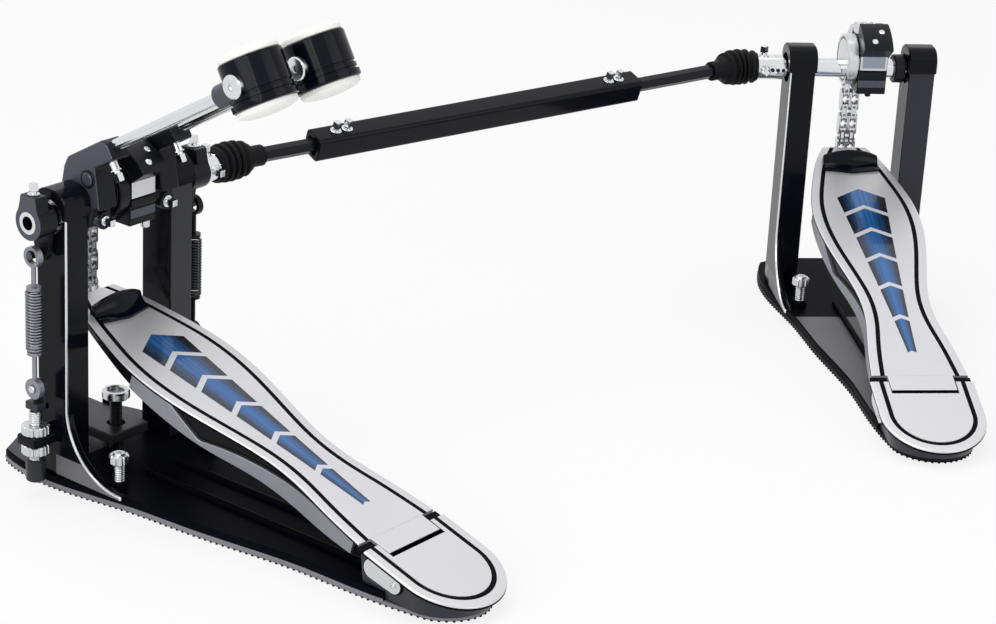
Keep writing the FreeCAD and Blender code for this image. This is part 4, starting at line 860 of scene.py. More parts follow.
def heel_top(y):
    return BOARD_HINGE.z + (y - BOARD_HINGE.y) * math.tan(math.radians(BOARD_PITCH))


def heel_path(inset, front):
    """Right ear, round the nose, to the left ear, at a distance inside the edge."""
    sag = HEEL_STRAIGHT - HEEL_NOSE
    radius = (HEEL_HALF ** 2 + sag ** 2) / (2 * sag)
    centre = HEEL_NOSE + radius
    reach = math.asin((HEEL_HALF - inset) / (radius - inset))
    nose = [(math.sin(turn) * (radius - inset), centre - math.cos(turn) * (radius - inset))
            for turn in spaced(reach, -reach, HEEL_NOSE_STEPS)]
    straight = spaced(front, nose[0][1], HEEL_EAR_STEPS)[:-1]
    return ([(HEEL_HALF - inset, y) for y in straight] + nose
            + [(inset - HEEL_HALF, y) for y in straight[::-1]])


def heel_strip(bm, section, front, material):
    """Sweeps a section of (inset, depth) round the heel's edge."""
    paths = [heel_path(inset, front) for inset, _ in section]
    rings = [[Vector((x, y, heel_top(y) - depth)) for (x, y), (_, depth) in zip(spots, section)]
             for spots in zip(*paths)]
    loft(bm, rings, paint=material)


def pocketed(bm, top_inset, low_inset, front, top_depth, low, materials):
    """A slab open at the front where the board's tongue sits; its pocket takes the last material, which in
    the heels is black as painted shade.
    """
    corners = [(-POCKET_HALF, front), (-POCKET_HALF, POCKET_BACK), (POCKET_HALF, POCKET_BACK),
               (POCKET_HALF, front)]
    top = [bm.verts.new((x, y, heel_top(y) - top_depth)) for x, y in heel_path(top_inset, front) + corners]
    base = [bm.verts.new((x, y, low(y))) for x, y in heel_path(low_inset, front) + corners]
    for row in (top, base[::-1]):
        bm.faces.new(row).material_index = materials[0]
    for index in range(len(top)):
        after = (index + 1) % len(top)
        side = bm.faces.new((top[index], base[index], base[after], top[after]))
        side.material_index = materials[1 if index >= len(top) - len(corners) else 0]


def build_heel(bm):
    """Pale top plate with an engraved line and a painted shadow line under its rim, a dark body below it
    with its pocket walls in painted shade, and painted shadow strips beside the tongue.
    """
    outer, inner, deep = engraved_line()
    rim = [(HEEL_RIM_CUT[0], HEEL_RIM), (0, HEEL_RIM - HEEL_RIM_CUT[1]), (0, HEEL_SHADOW_LINE_DEPTH), *EDGE_ROUND[::-1],
           (outer, 0), (outer + GROOVE_SLOPE, deep), (inner, deep), (inner, HEEL_RIM)]
    heel_strip(bm, rim, HEEL_EAR, lambda column: 1 if column in HEEL_GROOVE_AND_SHADOW_COLUMNS else 0)
    pocketed(bm, inner, inner, HEEL_EAR, 0, lambda y: heel_top(y) - HEEL_RIM, (0, 1))
    pocketed(bm, HEEL_BODY_INSET, HEEL_FOOT_INSET, HEEL_FRONT, HEEL_RIM, lambda y: HEEL_FOOT_Z, (2, 1))
    for side in (-1, 1):
        left, right = across(side, POCKET_HALF, HEEL_HALF - SHADOW_INSET)
        block(bm, (left, *SHADOW_LOW), (right, *SHADOW_HIGH), BOARD, edge=0.4, material=1)


def cap_outline(by):
    """Outline of a hinge cap, seen from the side: two round ends of different size, grown by an amount."""
    (y1, z1, r1), (y2, z2, r2) = CAP_FRONT, CAP_REAR
    slope = math.atan2(z1 - z2, y1 - y2)
    lean = math.acos((r1 - r2) / math.hypot(y1 - y2, z1 - z2))
    points = []
    for y, z, radius, start, end in ((y1, z1, r1, -lean, lean), (y2, z2, r2, lean, 2 * math.pi - lean)):
        points += [(y + (radius + by) * math.cos(turn), z + (radius + by) * math.sin(turn))
                   for turn in spaced(slope + start, slope + end, CAP_STEPS)]
    return points


def build_hinge_caps(bm):
    """Bright caps with a small screw, each in a dark border, and the hinge pin between them."""
    for side in (-1, 1):
        for material, rows in CAP_LAYERS:
            rings = [[Vector((side * x, y, z)) for y, z in cap_outline(by)] for x, by in rows]
            loft(bm, rings, paint=material)
        lathe(bm, HINGE_SCREW, axis_place((side * CAP_FACE, *CAP_REAR[:2]), (side, 0, 0)), segments=24)
    lathe(bm, HINGE_PIN, HINGE_PIN_PLACE, segments=32)


class PEDAL_OT_heel_plates(bpy.types.Operator):
    """Build both heel plates: a pale top plate with an engraved line, a dark body and the hinge caps"""
    bl_idname = "pedal.heel_plates"
    bl_label = "Heel plates"

    def execute(self, context):
        finishes = ("bead_blasted_aluminium", "line_paint", "semi_gloss_slate_enamel")
        for prefix, body, place in PEDALS:
            piece(prefix + "_heel", shaped(build_heel), finishes, body, (prefix + "_heel_plate",),
                  sharp=24, place=place)
            piece(prefix + "_hinge_caps", shaped(build_hinge_caps), ("nickel_plated_steel", "line_paint"),
                  body, (prefix + "_hinge_pin",), place=place)
        return {"FINISHED"}


# Threads and knurled heads

THREAD_PITCH = 1.5
THREAD_DEPTH = 0.45
THREAD_CREST = (0.4, 0.6)
TOOTH_COLUMNS = 6
NOTCH_COLUMNS = (0, 5)
NOTCH_DEPTH = 0.55


def thread(radius, low, high):
    """Profile of a thread drawn as rings."""
    rows = []
    height = low
    while height + THREAD_PITCH <= high:
        rows += [(radius - THREAD_DEPTH, height),
                 *((radius, height + THREAD_PITCH * share) for share in THREAD_CREST)]
        height += THREAD_PITCH
    return rows + [(radius - THREAD_DEPTH, height)]


def crown(bm, place, radius, low, high, teeth):
    """A knurled head: a drum whose edge is cut by notches."""
    columns = teeth * TOOTH_COLUMNS
    rings = []
    for height, shrink in ((low, 0.5), (low + 0.6, 0.0), (high - 0.8, 0.0), (high, 0.7)):
        ring = []
        for column in range(columns):
            notch = NOTCH_DEPTH if column % TOOTH_COLUMNS in NOTCH_COLUMNS else 0.0
            angle = 2 * math.pi * column / columns
            reach = radius - shrink - notch
            ring.append(place @ Vector((reach * math.cos(angle), reach * math.sin(angle), height)))
        rings.append(ring)
    loft(bm, rings)


# Base plates, posts and bearing caps

PLATE_LOW = 3.0
PLATE_HIGH = 9.0
PLATE_OUT = 0.6
# Layers of the plate and of the rubber edging round it: (growth beyond the mat, height)
PLATE_ROWS = ((PLATE_OUT - 0.5, PLATE_LOW), (PLATE_OUT, PLATE_LOW + 0.5), (PLATE_OUT, PLATE_HIGH - 1.1),
              (PLATE_OUT - 0.3, PLATE_HIGH - 0.35), (PLATE_OUT - 1.1, PLATE_HIGH))
EDGING_ROWS = ((0.2, 2.6), (1.0, 2.8), (1.0, 4.2), (0.2, 4.6))
PLATE_BACK = -255.0
# Cross lines where the plates' tops change colour as painted reflection: grey behind the first on the
# second pedal's plate, slate in front of the second on the main plate
PLATE_GREY_REFLECTION = -66.0
PLATE_SLATE_REFLECTION = 6.0
PLATE_TOP_SLACK = 0.05
MAT_FINISH = {"main": "grey_mat_rubber", "slave": "moulded_rubber"}
# Black, nickel, painted grey reflection and painted slate reflection
BASE_FINISHES = ("matt_black_enamel", "nickel_plated_steel", "semi_gloss_grey_enamel",
                 "semi_gloss_slate_enamel")
SPINE_X = 12.0
SPINE_HALF = 2.0
SPINE_SPAN = (-222.3, -40.0)
PLATE_SINK = 1.0
SPINE_TOP = 12.0
SPUR_X = 40.0
SPUR_Y = -44.5
BOSS = tube_profile(3.5, 5.6, PLATE_HIGH - PLATE_SINK, 14.0, high_cut=(0.9, 0.9))
LUG_X = (17.0, 22.0)
LUG_LOW = (17.0, PLATE_HIGH - PLATE_SINK)
LUG_HIGH = (31.0, 29.5)
JAW_PIVOT = (24.0, 23.5)
JAW_PIVOT_HEAD = drum_profile(4.4, 0, 1.3, high_cut=(0.6, 0.5))
UPWARD = 0.9


def mat_outline(prefix, place):
    """Corners of a mat's outline in its pedal's own axes."""
    bm = bmesh.new()
    softened(bm, prefix + "_rubber_mat", 0.0)
    flat = max((face for face in bm.faces if face.normal.z > UPWARD), key=lambda face: face.calc_area())
    back = place.inverted()
    outline = [back @ vert.co for vert in flat.verts]
    bm.free()
    return [(spot.x, spot.y) for spot in outline]


def grown(outline, by):
    """Moves an anticlockwise outline outwards."""
    moved = []
    for index, (x, y) in enumerate(outline):
        before = outline[index - 1]
        after = outline[(index + 1) % len(outline)]
        way = Vector((after[0] - before[0], after[1] - before[1])).normalized()
        moved.append((x + way.y * by, y - way.x * by))
    return moved


def slab(bm, outline, rows, back=-math.inf, paint=0):
    """Layers of (growth, height) on an outline, cut off square at the back."""
    loft(bm, [[Vector((x, max(y, back), height)) for x, y in grown(outline, by)] for by, height in rows],
         paint=paint)


def build_base(bm, outline, lugs):
    """Base plate with rounded edges, spines, spur bosses and the clamp's lugs."""
    slab(bm, outline, PLATE_ROWS, PLATE_BACK)
    # Painted reflections on the plate's top: slate in front of one cross line on the main plate, grey
    # behind the other on the second plate.
    for along in (PLATE_SLATE_REFLECTION, PLATE_GREY_REFLECTION):
        cut(bm, (0, along, 0), (0, 1, 0))
    for face in bm.faces:
        middle = face.calc_center_median()
        if middle.z > PLATE_HIGH - PLATE_TOP_SLACK:
            if middle.y > PLATE_SLATE_REFLECTION and lugs:
                face.material_index = 3
            elif middle.y < PLATE_GREY_REFLECTION and not lugs:
                face.material_index = 2
    slab(bm, outline, EDGING_ROWS, PLATE_BACK, len(BASE_FINISHES))
    for side in (-1, 1):
        block(bm, (side * SPINE_X - SPINE_HALF, SPINE_SPAN[0], PLATE_HIGH - PLATE_SINK),
              (side * SPINE_X + SPINE_HALF, SPINE_SPAN[1], SPINE_TOP), edge=1.4)
        lathe(bm, BOSS, Matrix.Translation((side * SPUR_X, SPUR_Y, 0)), segments=36)
        if lugs:
            left, right = across(side, *LUG_X)
            block(bm, (left, *LUG_LOW), (right, *LUG_HIGH), edge=1.0)
            pivot = axis_place((side * LUG_X[1], *JAW_PIVOT), (side, 0, 0))
            lathe(bm, JAW_PIVOT_HEAD, pivot, segments=28, material=1)


# Limits of the painted grey reflection on the outer sides of the posts' feet
FOOT_SIDE = 53.0
FOOT_BACK = -3.0
FOOT_TOP = 23.0
# Black enamel, painted edge highlight, slate as painted light, painted grey reflection
POST_FINISHES = ("stoved_black_enamel", "rubbed_bright_edge", "semi_gloss_slate_enamel",
                 "semi_gloss_grey_enamel")
EDGE_LEAN = 0.25
SQUARE_ON = 0.9


def post_finish(face, back):
    """Painted light on the posts: a painted highlight on the left post's front-left edges, a painted grey
    reflection on the feet, slate as painted light on the right post's front towards the player, else black.
    """
    way = back.to_3x3() @ face.normal
    middle = back @ face.calc_center_median()
    # Painted highlight: the left post's front-left edges take the bright metal.
    if middle.x < 0 and way.x < -EDGE_LEAN and min(way.y, -way.z) < -EDGE_LEAN:
        return 1
    # Painted reflection: grey on the outer faces of the posts' feet.
    in_foot_reflection = abs(middle.x) > FOOT_SIDE and middle.y < FOOT_BACK and middle.z < FOOT_TOP
    if abs(way.x) > SQUARE_ON and in_foot_reflection:
        return 3
    # Painted light: slate on the right post's faces towards the player.
    return 2 if way.y < -SQUARE_ON and middle.x > 0 else 0


def build_posts(bm, prefix, place):
    """The CAD posts with rounded edges, cut along the borders of the feet's painted grey reflection."""
    softened(bm, prefix + "_posts", 1.2)
    for spot, way in (((0, FOOT_BACK, 0), (0, 1, 0)), ((0, 0, FOOT_TOP), (0, 0, 1))):
        cut(bm, place @ Vector(spot), place.to_3x3() @ Vector(way))
    back = place.inverted()
    for face in bm.faces:
        face.material_index = post_finish(face, back)


CAP_X = (34.25, 55.25)
CAP_HALF = 14.0
CAP_TOP = 197.5
CAP_ROUND = 11.0
CAP_EDGE = 0.8
CAP_ROUND_STEPS = 10
BORE_STEPS = 24
BEARING_X = (38.75, 50.75)
BEARING_RADIUS = 11.0
BEARING = tube_profile(7.3, 10.9, 0, BEARING_X[1] - BEARING_X[0])


def build_caps(bm):
    """Bearing caps with round tops over the axle, and the bright bearing rings in them."""
    bore = [(BEARING_RADIUS * math.cos(turn), AXLE_Z + BEARING_RADIUS * math.sin(turn))
            for turn in spaced(math.pi, 0, BORE_STEPS)]
    for side in (-1, 1):
        rings = []
        for x, shrink in rim_rows(*CAP_X, CAP_EDGE):
            half, top, bend = CAP_HALF - shrink, CAP_TOP - shrink, CAP_ROUND - shrink
            right = [(half - bend + bend * math.cos(turn), top - bend + bend * math.sin(turn))
                     for turn in spaced(0, math.pi / 2, CAP_ROUND_STEPS)]
            outer = [(half, AXLE_Z)] + right + [(-y, z) for y, z in right[::-1]] + [(-half, AXLE_Z)]
            rings.append([Vector((side * x, y, z)) for y, z in outer + bore])
        loft(bm, rings)
        ring = axis_place((across(side, *BEARING_X)[0], 0, AXLE_Z), (1, 0, 0))
        lathe(bm, BEARING, ring, material=1)


class PEDAL_OT_frames(bpy.types.Operator):
    """Build base plates, posts and bearing caps in enamel"""
    bl_idname = "pedal.frames"
    bl_label = "Frames"

    def execute(self, context):
        for prefix, body, place in PEDALS:
            outline = mat_outline(prefix, place)
            plate = shaped(lambda bm: build_base(bm, outline, prefix == "main"))
            piece(prefix + "_base", plate, (*BASE_FINISHES, MAT_FINISH[prefix]), body,
                  (prefix + "_base_plate",), place=place)
            piece(prefix + "_posts_shell", shaped(lambda bm: build_posts(bm, prefix, place)), POST_FINISHES,
                  body, (prefix + "_posts",))
            piece(prefix + "_caps", shaped(build_caps), ("stoved_black_enamel", "nickel_plated_steel"),
                  body, (prefix + "_bearing_caps",), place=place)
        return {"FINISHED"}


# Toe stops

STOP_START = 233.5
STOP_END = 249.0
STOP_HALF = 20.5
STOP_HEIGHT = 11.0
STOP_LIP = 2.0
STOP_DOME = 5.0
STOP_DOME_POWER = 2.2
STOP_WEDGE = 3.4
STOP_RIDGE = 0.05
STOP_SCOOP = 2.6
STOP_SCOOP_STEPS = 8
STOP_END_DROP = 0.5
STOP_ROUND = 0.6
STOP_COLUMNS = (-1.0, -0.975, -0.8, -0.6, -0.4, -0.2, -0.05, 0.05, 0.2, 0.4, 0.6, 0.8, 0.975, 1.0)
CLEVIS_TOP = -1.0


def build_stop(bm):
    """Domed block whose hollow front is a shallow wedge with a ridge in the middle."""
    rings = []
    for share in STOP_COLUMNS:
        out = abs(share)
        high = STOP_HEIGHT - STOP_DOME * out ** STOP_DOME_POWER - (STOP_END_DROP if out == 1 else 0)
        low = Vector((STOP_START + STOP_WEDGE * max(0, out - STOP_RIDGE), STOP_LIP))
        peak = Vector((STOP_END - STOP_LIP, high))
        chord = peak - low
        bend = (low + peak) / 2 + Vector((chord.y, -chord.x)).normalized() * (2 * STOP_SCOOP)
        front = [tuple(low * (1 - t) ** 2 + bend * (2 * t * (1 - t)) + peak * t ** 2)
                 for t in spaced(0, 1, STOP_SCOOP_STEPS)]
        section = [(low.x, 0.0), *front, (STOP_END - STOP_ROUND, high), (STOP_END, high - STOP_ROUND),
                   (STOP_END, 0.0)]
        rings.append([Vector((share * STOP_HALF, along, up)) for along, up in section])
    loft(bm, rings)


def build_bracket(bm, node, back):
    """The CAD bracket's lower part, which holds the chain."""
    softened(bm, node, 0.5)
    bm.transform(back)
    bmesh.ops.delete(bm, geom=[vert for vert in bm.verts if vert.co.z > CLEVIS_TOP], context="VERTS")
    for face in bm.faces:
        face.material_index = 1


class PEDAL_OT_toe_stops(bpy.types.Operator):
    """Build the toe stops and the chain clevises under them"""
    bl_idname = "pedal.toe_stops"
    bl_label = "Toe stops"

    def execute(self, context):
        for prefix, _, place in PEDALS:
            node = prefix + "_toe_bracket"
            board = place @ BOARD
            stop = shaped(lambda bm: build_bracket(bm, node, board.inverted()), build_stop)
            piece(prefix + "_toe_stop", stop, ("polished_black_abs", "nickel_plated_steel"),
                  prefix + "_footboard", (node,), sharp=20, place=board)
        return {"FINISHED"}


# Axles, hubs and cams

HUB_X = 26.5
ROCKER_X = 67.75
CAM_LEFT = -4.6
CAM_STEP = 10.6
CAM_RIGHT = 17.0
CAM_FLAT = -17.0
CAM_CORE = 15.0
CAM_CORE_PROFILE = drum_profile(CAM_CORE, 0, CAM_RIGHT - CAM_LEFT, (0.6, 0.6), (0.6, 0.6))
# Slices of the drum: radius, start and end in degrees, left and right side
CAM_SECTORS = ((23.0, -24.0, 64.0, CAM_LEFT, CAM_STEP), (25.7, 64.0, 140.0, CAM_LEFT, CAM_STEP),
               (33.0, -24.0, 140.0, CAM_STEP, CAM_RIGHT),
               (36.4, 101.0, 143.0, CAM_LEFT + 0.3, CAM_RIGHT + 0.2))
SECTOR_STEPS = 24
SECTOR_RIM = 0.5
# Blocks on the flat front: low and high corner, edge, material
CAM_BLOCKS = (((-3.9, -18.2, 183.3), (16.3, -16.5, 195.7), 0.5, 1),
              ((-2.3, -18.5, 185.0), (14.7, -16.5, 194.0), 0.3, 2),
              ((-4.2, -18.4, 177.4), (16.6, -16.4, 182.4), 0.7, 0),
              ((-4.2, -18.0, 170.2), (16.6, -16.4, 175.8), 0.7, 3))
# Stud under the cam: foot, radius, length, material
CAM_STUDS = {"main": ((13.5, -12.0, 165.6), 3.0, 6.0, 1), "slave": ((6.0, -9.0, 165.0), 2.2, 3.8, 0)}
STUD_CUT = (0.5, 0.6)
STUD_SINK = 1.0
CAM_DISC = (-13.0, 0.0, 187.0)
CAM_DISC_PROFILE = ((0, 0), (14.6, 0), (15.0, 0.5), (16.2, 0.5), (16.6, 0), (17.7, 0),
                    (18.5, 0.8), (18.5, 7.6), (17.7, 8.6), (0, 8.6))
CAM_DISC_LINE = tube_profile(15.0, 16.2, 0.4, 0.7)
# The cams on both pedals are one part; their finishes differ as painted light: the main's window is painted
# pale and its disc dark as painted shade, the second's window grey-blue and its disc bright.
CAM_FINISHES = {"main": ("bead_blasted_aluminium", "satin_black_zinc"),
                "slave": ("ground_steel", "nickel_plated_steel")}
END_BORE = 4.5
END_BORE_X = -60.0
HUB_FACE = 34.0
HUB_DISC = (20.7, 13.2)
HUB_RING = ((4.1, -0.2), (5.8, -0.2), (5.8, 0.5), (5.4, 0.9), (4.5, 0.9), (4.1, 0.6), (4.1, -0.2))
HUB_BUTTON = ((0, 0), (4.2, 0), (4.2, 1.0), (3.5, 1.5), (0, 1.6))
# The second finish is painted light on the hubs' and rockers' outer sides and on the hub discs' buttons.
CASTING = ("satin_black_zinc", "rubbed_slate_zinc")

SWING_SIN = math.sin(math.radians(SWING_PITCH))
SWING_COS = math.cos(math.radians(SWING_PITCH))
SWING_SQUARE = Vector((0, SWING_SIN, SWING_COS))
SWING_ALONG = Vector((0, -SWING_COS, SWING_SIN))


def swing(along, out):
    """Y and Z of a point on the beater's rod line, seen square to the axle."""
    return out * SWING_SIN - along * SWING_COS, AXLE_Z + along * SWING_SIN + out * SWING_COS


def end_bore_shade(face):
    """Painted shade: the faces inside the bore in the axle's end take the second, dark finish."""
    spots = [vert.co for vert in face.verts]
    return int(all(spot.x < END_BORE_X and math.hypot(spot.y, spot.z - AXLE_Z) < END_BORE
                   for spot in spots))


def painted_light_outer_side(middle):
    """Painted light: chooses the second, lighter finish for faces that look outwards, beyond a distance
    from the middle.
    """
    return lambda face: int(abs(face.normal.x) > SQUARE_ON and abs(face.calc_center_median().x) > middle)


def sector(bm, radius, start, end, left, right):
    """A slice of a drum about the axle, with softened rims."""
    turns = [math.radians(degrees) for degrees in spaced(start, end, SECTOR_STEPS)]
    rings = []
    for x, shrink in rim_rows(left, right, SECTOR_RIM):
        reach = radius - shrink
        arc = [Vector((x, reach * math.cos(turn), AXLE_Z + reach * math.sin(turn))) for turn in turns]
        rings.append(arc + [Vector((x, 0, AXLE_Z))])
    loft(bm, rings)


def build_cam(bm, prefix):
    """Drum in steps, cover over the chain's end, flat front with a window and ridges, and a bright disc."""
    lathe(bm, CAM_CORE_PROFILE, axis_place((CAM_LEFT, 0, AXLE_Z), (1, 0, 0)), segments=56)
    block(bm, (CAM_LEFT, CAM_FLAT, AXLE_Z - CAM_CORE), (CAM_RIGHT, 0, AXLE_Z + CAM_CORE), edge=0.8)
    for values in CAM_SECTORS:
        sector(bm, *values)
    for low, high, edge, material in CAM_BLOCKS:
        block(bm, low, high, edge=edge, material=material)
    spot, radius, tall, material = CAM_STUDS[prefix]
    stud = drum_profile(radius, -STUD_SINK, tall, high_cut=STUD_CUT)
    lathe(bm, stud, axis_place(spot, (0, 0, -1)), segments=28, material=material)
    disc = axis_place(CAM_DISC, (1, 0, 0))
    lathe(bm, CAM_DISC_PROFILE, disc, segments=64, material=4)
    lathe(bm, CAM_DISC_LINE, disc, segments=64)


def build_hub_disc(bm, side):
    """A ring with a button in it on the hub's outer face."""
    spot = axis_place((side * HUB_FACE, *swing(*HUB_DISC)), (side, 0, 0))
    lathe(bm, HUB_RING, spot)
    lathe(bm, HUB_BUTTON, spot, material=1)


class PEDAL_OT_axles(bpy.types.Operator):
    """Build axles, beater hubs, spring rockers and drive cams"""
    bl_idname = "pedal.axles"
    bl_label = "Axles"

    def execute(self, context):
        for node in ("main_axle", "second_axle", "slave_axle"):
            shell(node, node, ("chromed_steel", "satin_black_zinc"), 0.4, end_bore_shade)
        for owner, side in BEATERS:
            body = owner + "_axle"
            shell(owner + "_hub", body, CASTING, 1.2, painted_light_outer_side(HUB_X))
            shell(owner + "_rocker", body, CASTING, 0.8, painted_light_outer_side(ROCKER_X))
            piece(owner + "_hub_disc", shaped(lambda bm: build_hub_disc(bm, side)), CASTING, body, ())
        for prefix, _, place in PEDALS:
            window, disc = CAM_FINISHES[prefix]
            finishes = ("satin_black_zinc", "nickel_plated_steel", window, "rubbed_slate_zinc", disc)
            piece(prefix + "_cam", shaped(lambda bm: build_cam(bm, prefix)), finishes, prefix + "_axle",
                  (prefix + "_drive_cam",), place=place)
        return {"FINISHED"}


# Hoop clamp

CLAMP_ROD = [(0, 9.3), (2.6, 9.3), *thread(4.0, 9.6, 44.0), (0, 44.0)]
CLAMP_RING = ((3.0, 44.0), (7.6, 44.0), (9.0, 45.2), (9.0, 48.8), (8.2, 49.8), (6.2, 50.0), (5.4, 49.3),
              (5.2, 47.0), (3.0, 47.0), (3.0, 44.0))
CLAMP_DISH = drum_profile(5.15, 44.2, 47.6)


def build_clamp_screw(bm):
    lathe(bm, CLAMP_ROD, MAIN, segments=28, material=1)
    lathe(bm, CLAMP_RING, MAIN, segments=48)
    lathe(bm, CLAMP_DISH, MAIN, segments=32, material=2)


class PEDAL_OT_clamp(bpy.types.Operator):
    """Build the hoop clamp's jaw and its screw"""
    bl_idname = "pedal.clamp"
    bl_label = "Hoop clamp"

    def execute(self, context):
        shell("clamp_jaw", "clamp_jaw", ("semi_gloss_slate_enamel",), 0.8)
        finishes = ("nickel_plated_steel", "satin_black_zinc", "tumbled_aluminium")
        piece("clamp_key_screw", shaped(build_clamp_screw), finishes, "clamp_screw", ("clamp_screw",))
        return {"FINISHED"}


# Mats

RIB_HEIGHT = 1.0
RIB_SHARE = 0.2
MAT_ROWS = ((-0.3, 0.2), (0.4, 0.6), (0.4, 2.7), (0, 3.0))
MAT_NOSE_START = -255.0
MAT_NOSE_GROWTH = 6.0


class PEDAL_OT_mats(bpy.types.Operator):
    """Build the rubber mats with upright ribs round their edges"""
    bl_idname = "pedal.mats"
    bl_label = "Rubber mats"

    def execute(self, context):
        tree = rib_tree()
        for prefix, body, place in PEDALS:
            node = prefix + "_rubber_mat"
            outline = mat_outline(prefix, place)
            nose = min(y for _, y in outline)
            outline = [(x, y - MAT_NOSE_GROWTH * max(0, MAT_NOSE_START - y) / (MAT_NOSE_START - nose))
                       for x, y in outline]
            bm = shaped(lambda bm: slab(bm, outline, MAT_ROWS))
            bm.transform(place)
            path = bpy.data.meshes.new("mat_outline")
            count = len(outline)
            path.from_pydata([place @ Vector((x, y, RIB_HEIGHT / 2)) * MM for x, y in outline],
                             [(index, (index + 1) % count) for index in range(count)], [])
            ribs = grow(tree, path, pitch=sizes().rib_pitch, rib_radius=sizes().rib_pitch * RIB_SHARE,
                        height=RIB_HEIGHT * MM, finish=finish("moulded_rubber"))
            ribs.transform(Matrix.Scale(1 / MM, 4))
            for face in ribs.polygons:
                face.material_index = 1
            bm.from_mesh(ribs)
            piece(node + "_slab", bm, (MAT_FINISH[prefix], "moulded_rubber"), body, (node,))
        return {"FINISHED"}


# Spurs

SPUR_TOP = 33.0
SPUR_NECK = 26.0
SPUR_FOOT = 3.0
SPUR_HEAD_RADIUS = 6.2
SPUR_HEAD_TOP = SPUR_TOP - 1.2
SPUR_TEETH = 10
SPUR_ROD = [(0, SPUR_FOOT), *thread(3.4, SPUR_FOOT, SPUR_NECK + 0.6), (0, SPUR_NECK + 0.7)]
SPUR_CAP = ((0, SPUR_TOP - 1.4), (4.2, SPUR_TOP - 1.4), (4.2, SPUR_TOP - 0.6), (3.4, SPUR_TOP),
            (1.6, SPUR_TOP), (1.4, SPUR_TOP - 1.0), (0, SPUR_TOP - 1.0))


def build_spurs(bm):
    for side in (-1, 1):
        spot = Matrix.Translation((side * SPUR_X, SPUR_Y, 0))
        lathe(bm, SPUR_ROD, spot, segments=28)
        crown(bm, spot, SPUR_HEAD_RADIUS, SPUR_NECK, SPUR_HEAD_TOP, SPUR_TEETH)
        lathe(bm, SPUR_CAP, spot, segments=28)


class PEDAL_OT_spurs(bpy.types.Operator):
    """Build the threaded floor spurs with knurled heads"""
    bl_idname = "pedal.spurs"
    bl_label = "Spurs"

    def execute(self, context):
        for prefix, body, place in PEDALS:
            piece(prefix + "_spur_pair", shaped(build_spurs), ("nickel_plated_steel",), body,
                  (prefix + "_spurs",), place=place)
        return {"FINISHED"}


# Drive-key screws

KEY_HEAD = 4.2
KEY_ALONG = 39.0
KEY_FOOT = 17.0
KEY_NECK = 5.0
KEY_NECK_SINK = 0.4
KEY_NECK_PROFILE = drum_profile(2.8, 0, KEY_NECK + 0.6)
HUB_KEY = (-18.0, AXLE_Z - 5.0)
ROCKER_KEY_Z = AXLE_Z + 17.0
YOKE_KEY_REACH = 8.4
YOKE_KEY_X = {"second": 78.5, "slave": -72.0}
COLLAR_LEFT = 25.0
COLLAR = tube_profile(7.1, 10.5, 0, 8.0, (0.8, 0.8), (0.8, 0.8))
CAM_SCREWS = ((4.0, 132.0), (10.0, 118.0))
CAM_SCREW_FOOT = 34.4
CAM_SCREW = ((0, 0), (2.2, 0), (2.2, 2.6), (1.6, 3.2), (1.0, 3.2), (0.9, 2.2), (0, 2.2))
# Painted shade: black discs stand for the yoke's holes.
YOKE_HOLES = (-66.5, -62.5, -58.5)
YOKE_RADIUS = 9.2
YOKE_HOLE = drum_profile(1.4, -0.6, 0.1)


def hub_keys(side):
    """Screws of a hub and its rocker as (place, direction) pairs."""
    return [((side * HUB_X, *HUB_KEY), (0, -1, 0)),
            ((side * HUB_X, *swing(KEY_ALONG, KEY_FOOT - KEY_NECK)), tuple(-SWING_SQUARE)),
            ((side * ROCKER_X, 0, ROCKER_KEY_Z), (0, 0, 1))]


def yoke_keys(owner):
    """Screws of a joint's yoke, one on top and one in front."""
    x = YOKE_KEY_X[owner]
    return [((x, 0, AXLE_Z + YOKE_KEY_REACH), (0, 0, 1)), ((x, -YOKE_KEY_REACH, AXLE_Z), (0, -1, 0))]


def key_necks(bm, side):
    """The neck between the hub's boss and its lower screw."""
    foot = (side * HUB_X, *swing(KEY_ALONG, KEY_FOOT + KEY_NECK_SINK))
    lathe(bm, KEY_NECK_PROFILE, axis_place(foot, -SWING_SQUARE), segments=28)


def cam_screws(bm):
    """Socket screws on the cover over the chain's end."""
    for x, degrees in CAM_SCREWS:
        angle = math.radians(degrees)
        outward = Vector((0, math.cos(angle), math.sin(angle)))
        foot = Vector((x, 0, AXLE_Z)) + outward * CAM_SCREW_FOOT
        lathe(bm, CAM_SCREW, axis_place(foot, outward), segments=20)


def yoke_and_collar(bm):
    """Black discs for the holes along the second pedal's yoke, painted as the shade in them, and the collar
    on its axle.
    """
    for x in YOKE_HOLES:
        lathe(bm, YOKE_HOLE, axis_place((x, -YOKE_RADIUS, AXLE_Z), (0, -1, 0)), segments=20, material=1)
    lathe(bm, COLLAR, axis_place((COLLAR_LEFT, 0, AXLE_Z), (1, 0, 0)), segments=48, material=1)


def key_screws(tree, keys, place):
    """Plain mesh of drive-key screws at (place, direction) pairs."""
    spots = [place @ Vector(spot) for spot, _ in keys]
    ways = [place.to_3x3() @ Vector(way) for _, way in keys]
    return grow(tree, points_mesh(spots, ways), head=KEY_HEAD * MM, finish=finish("chromed_steel"))


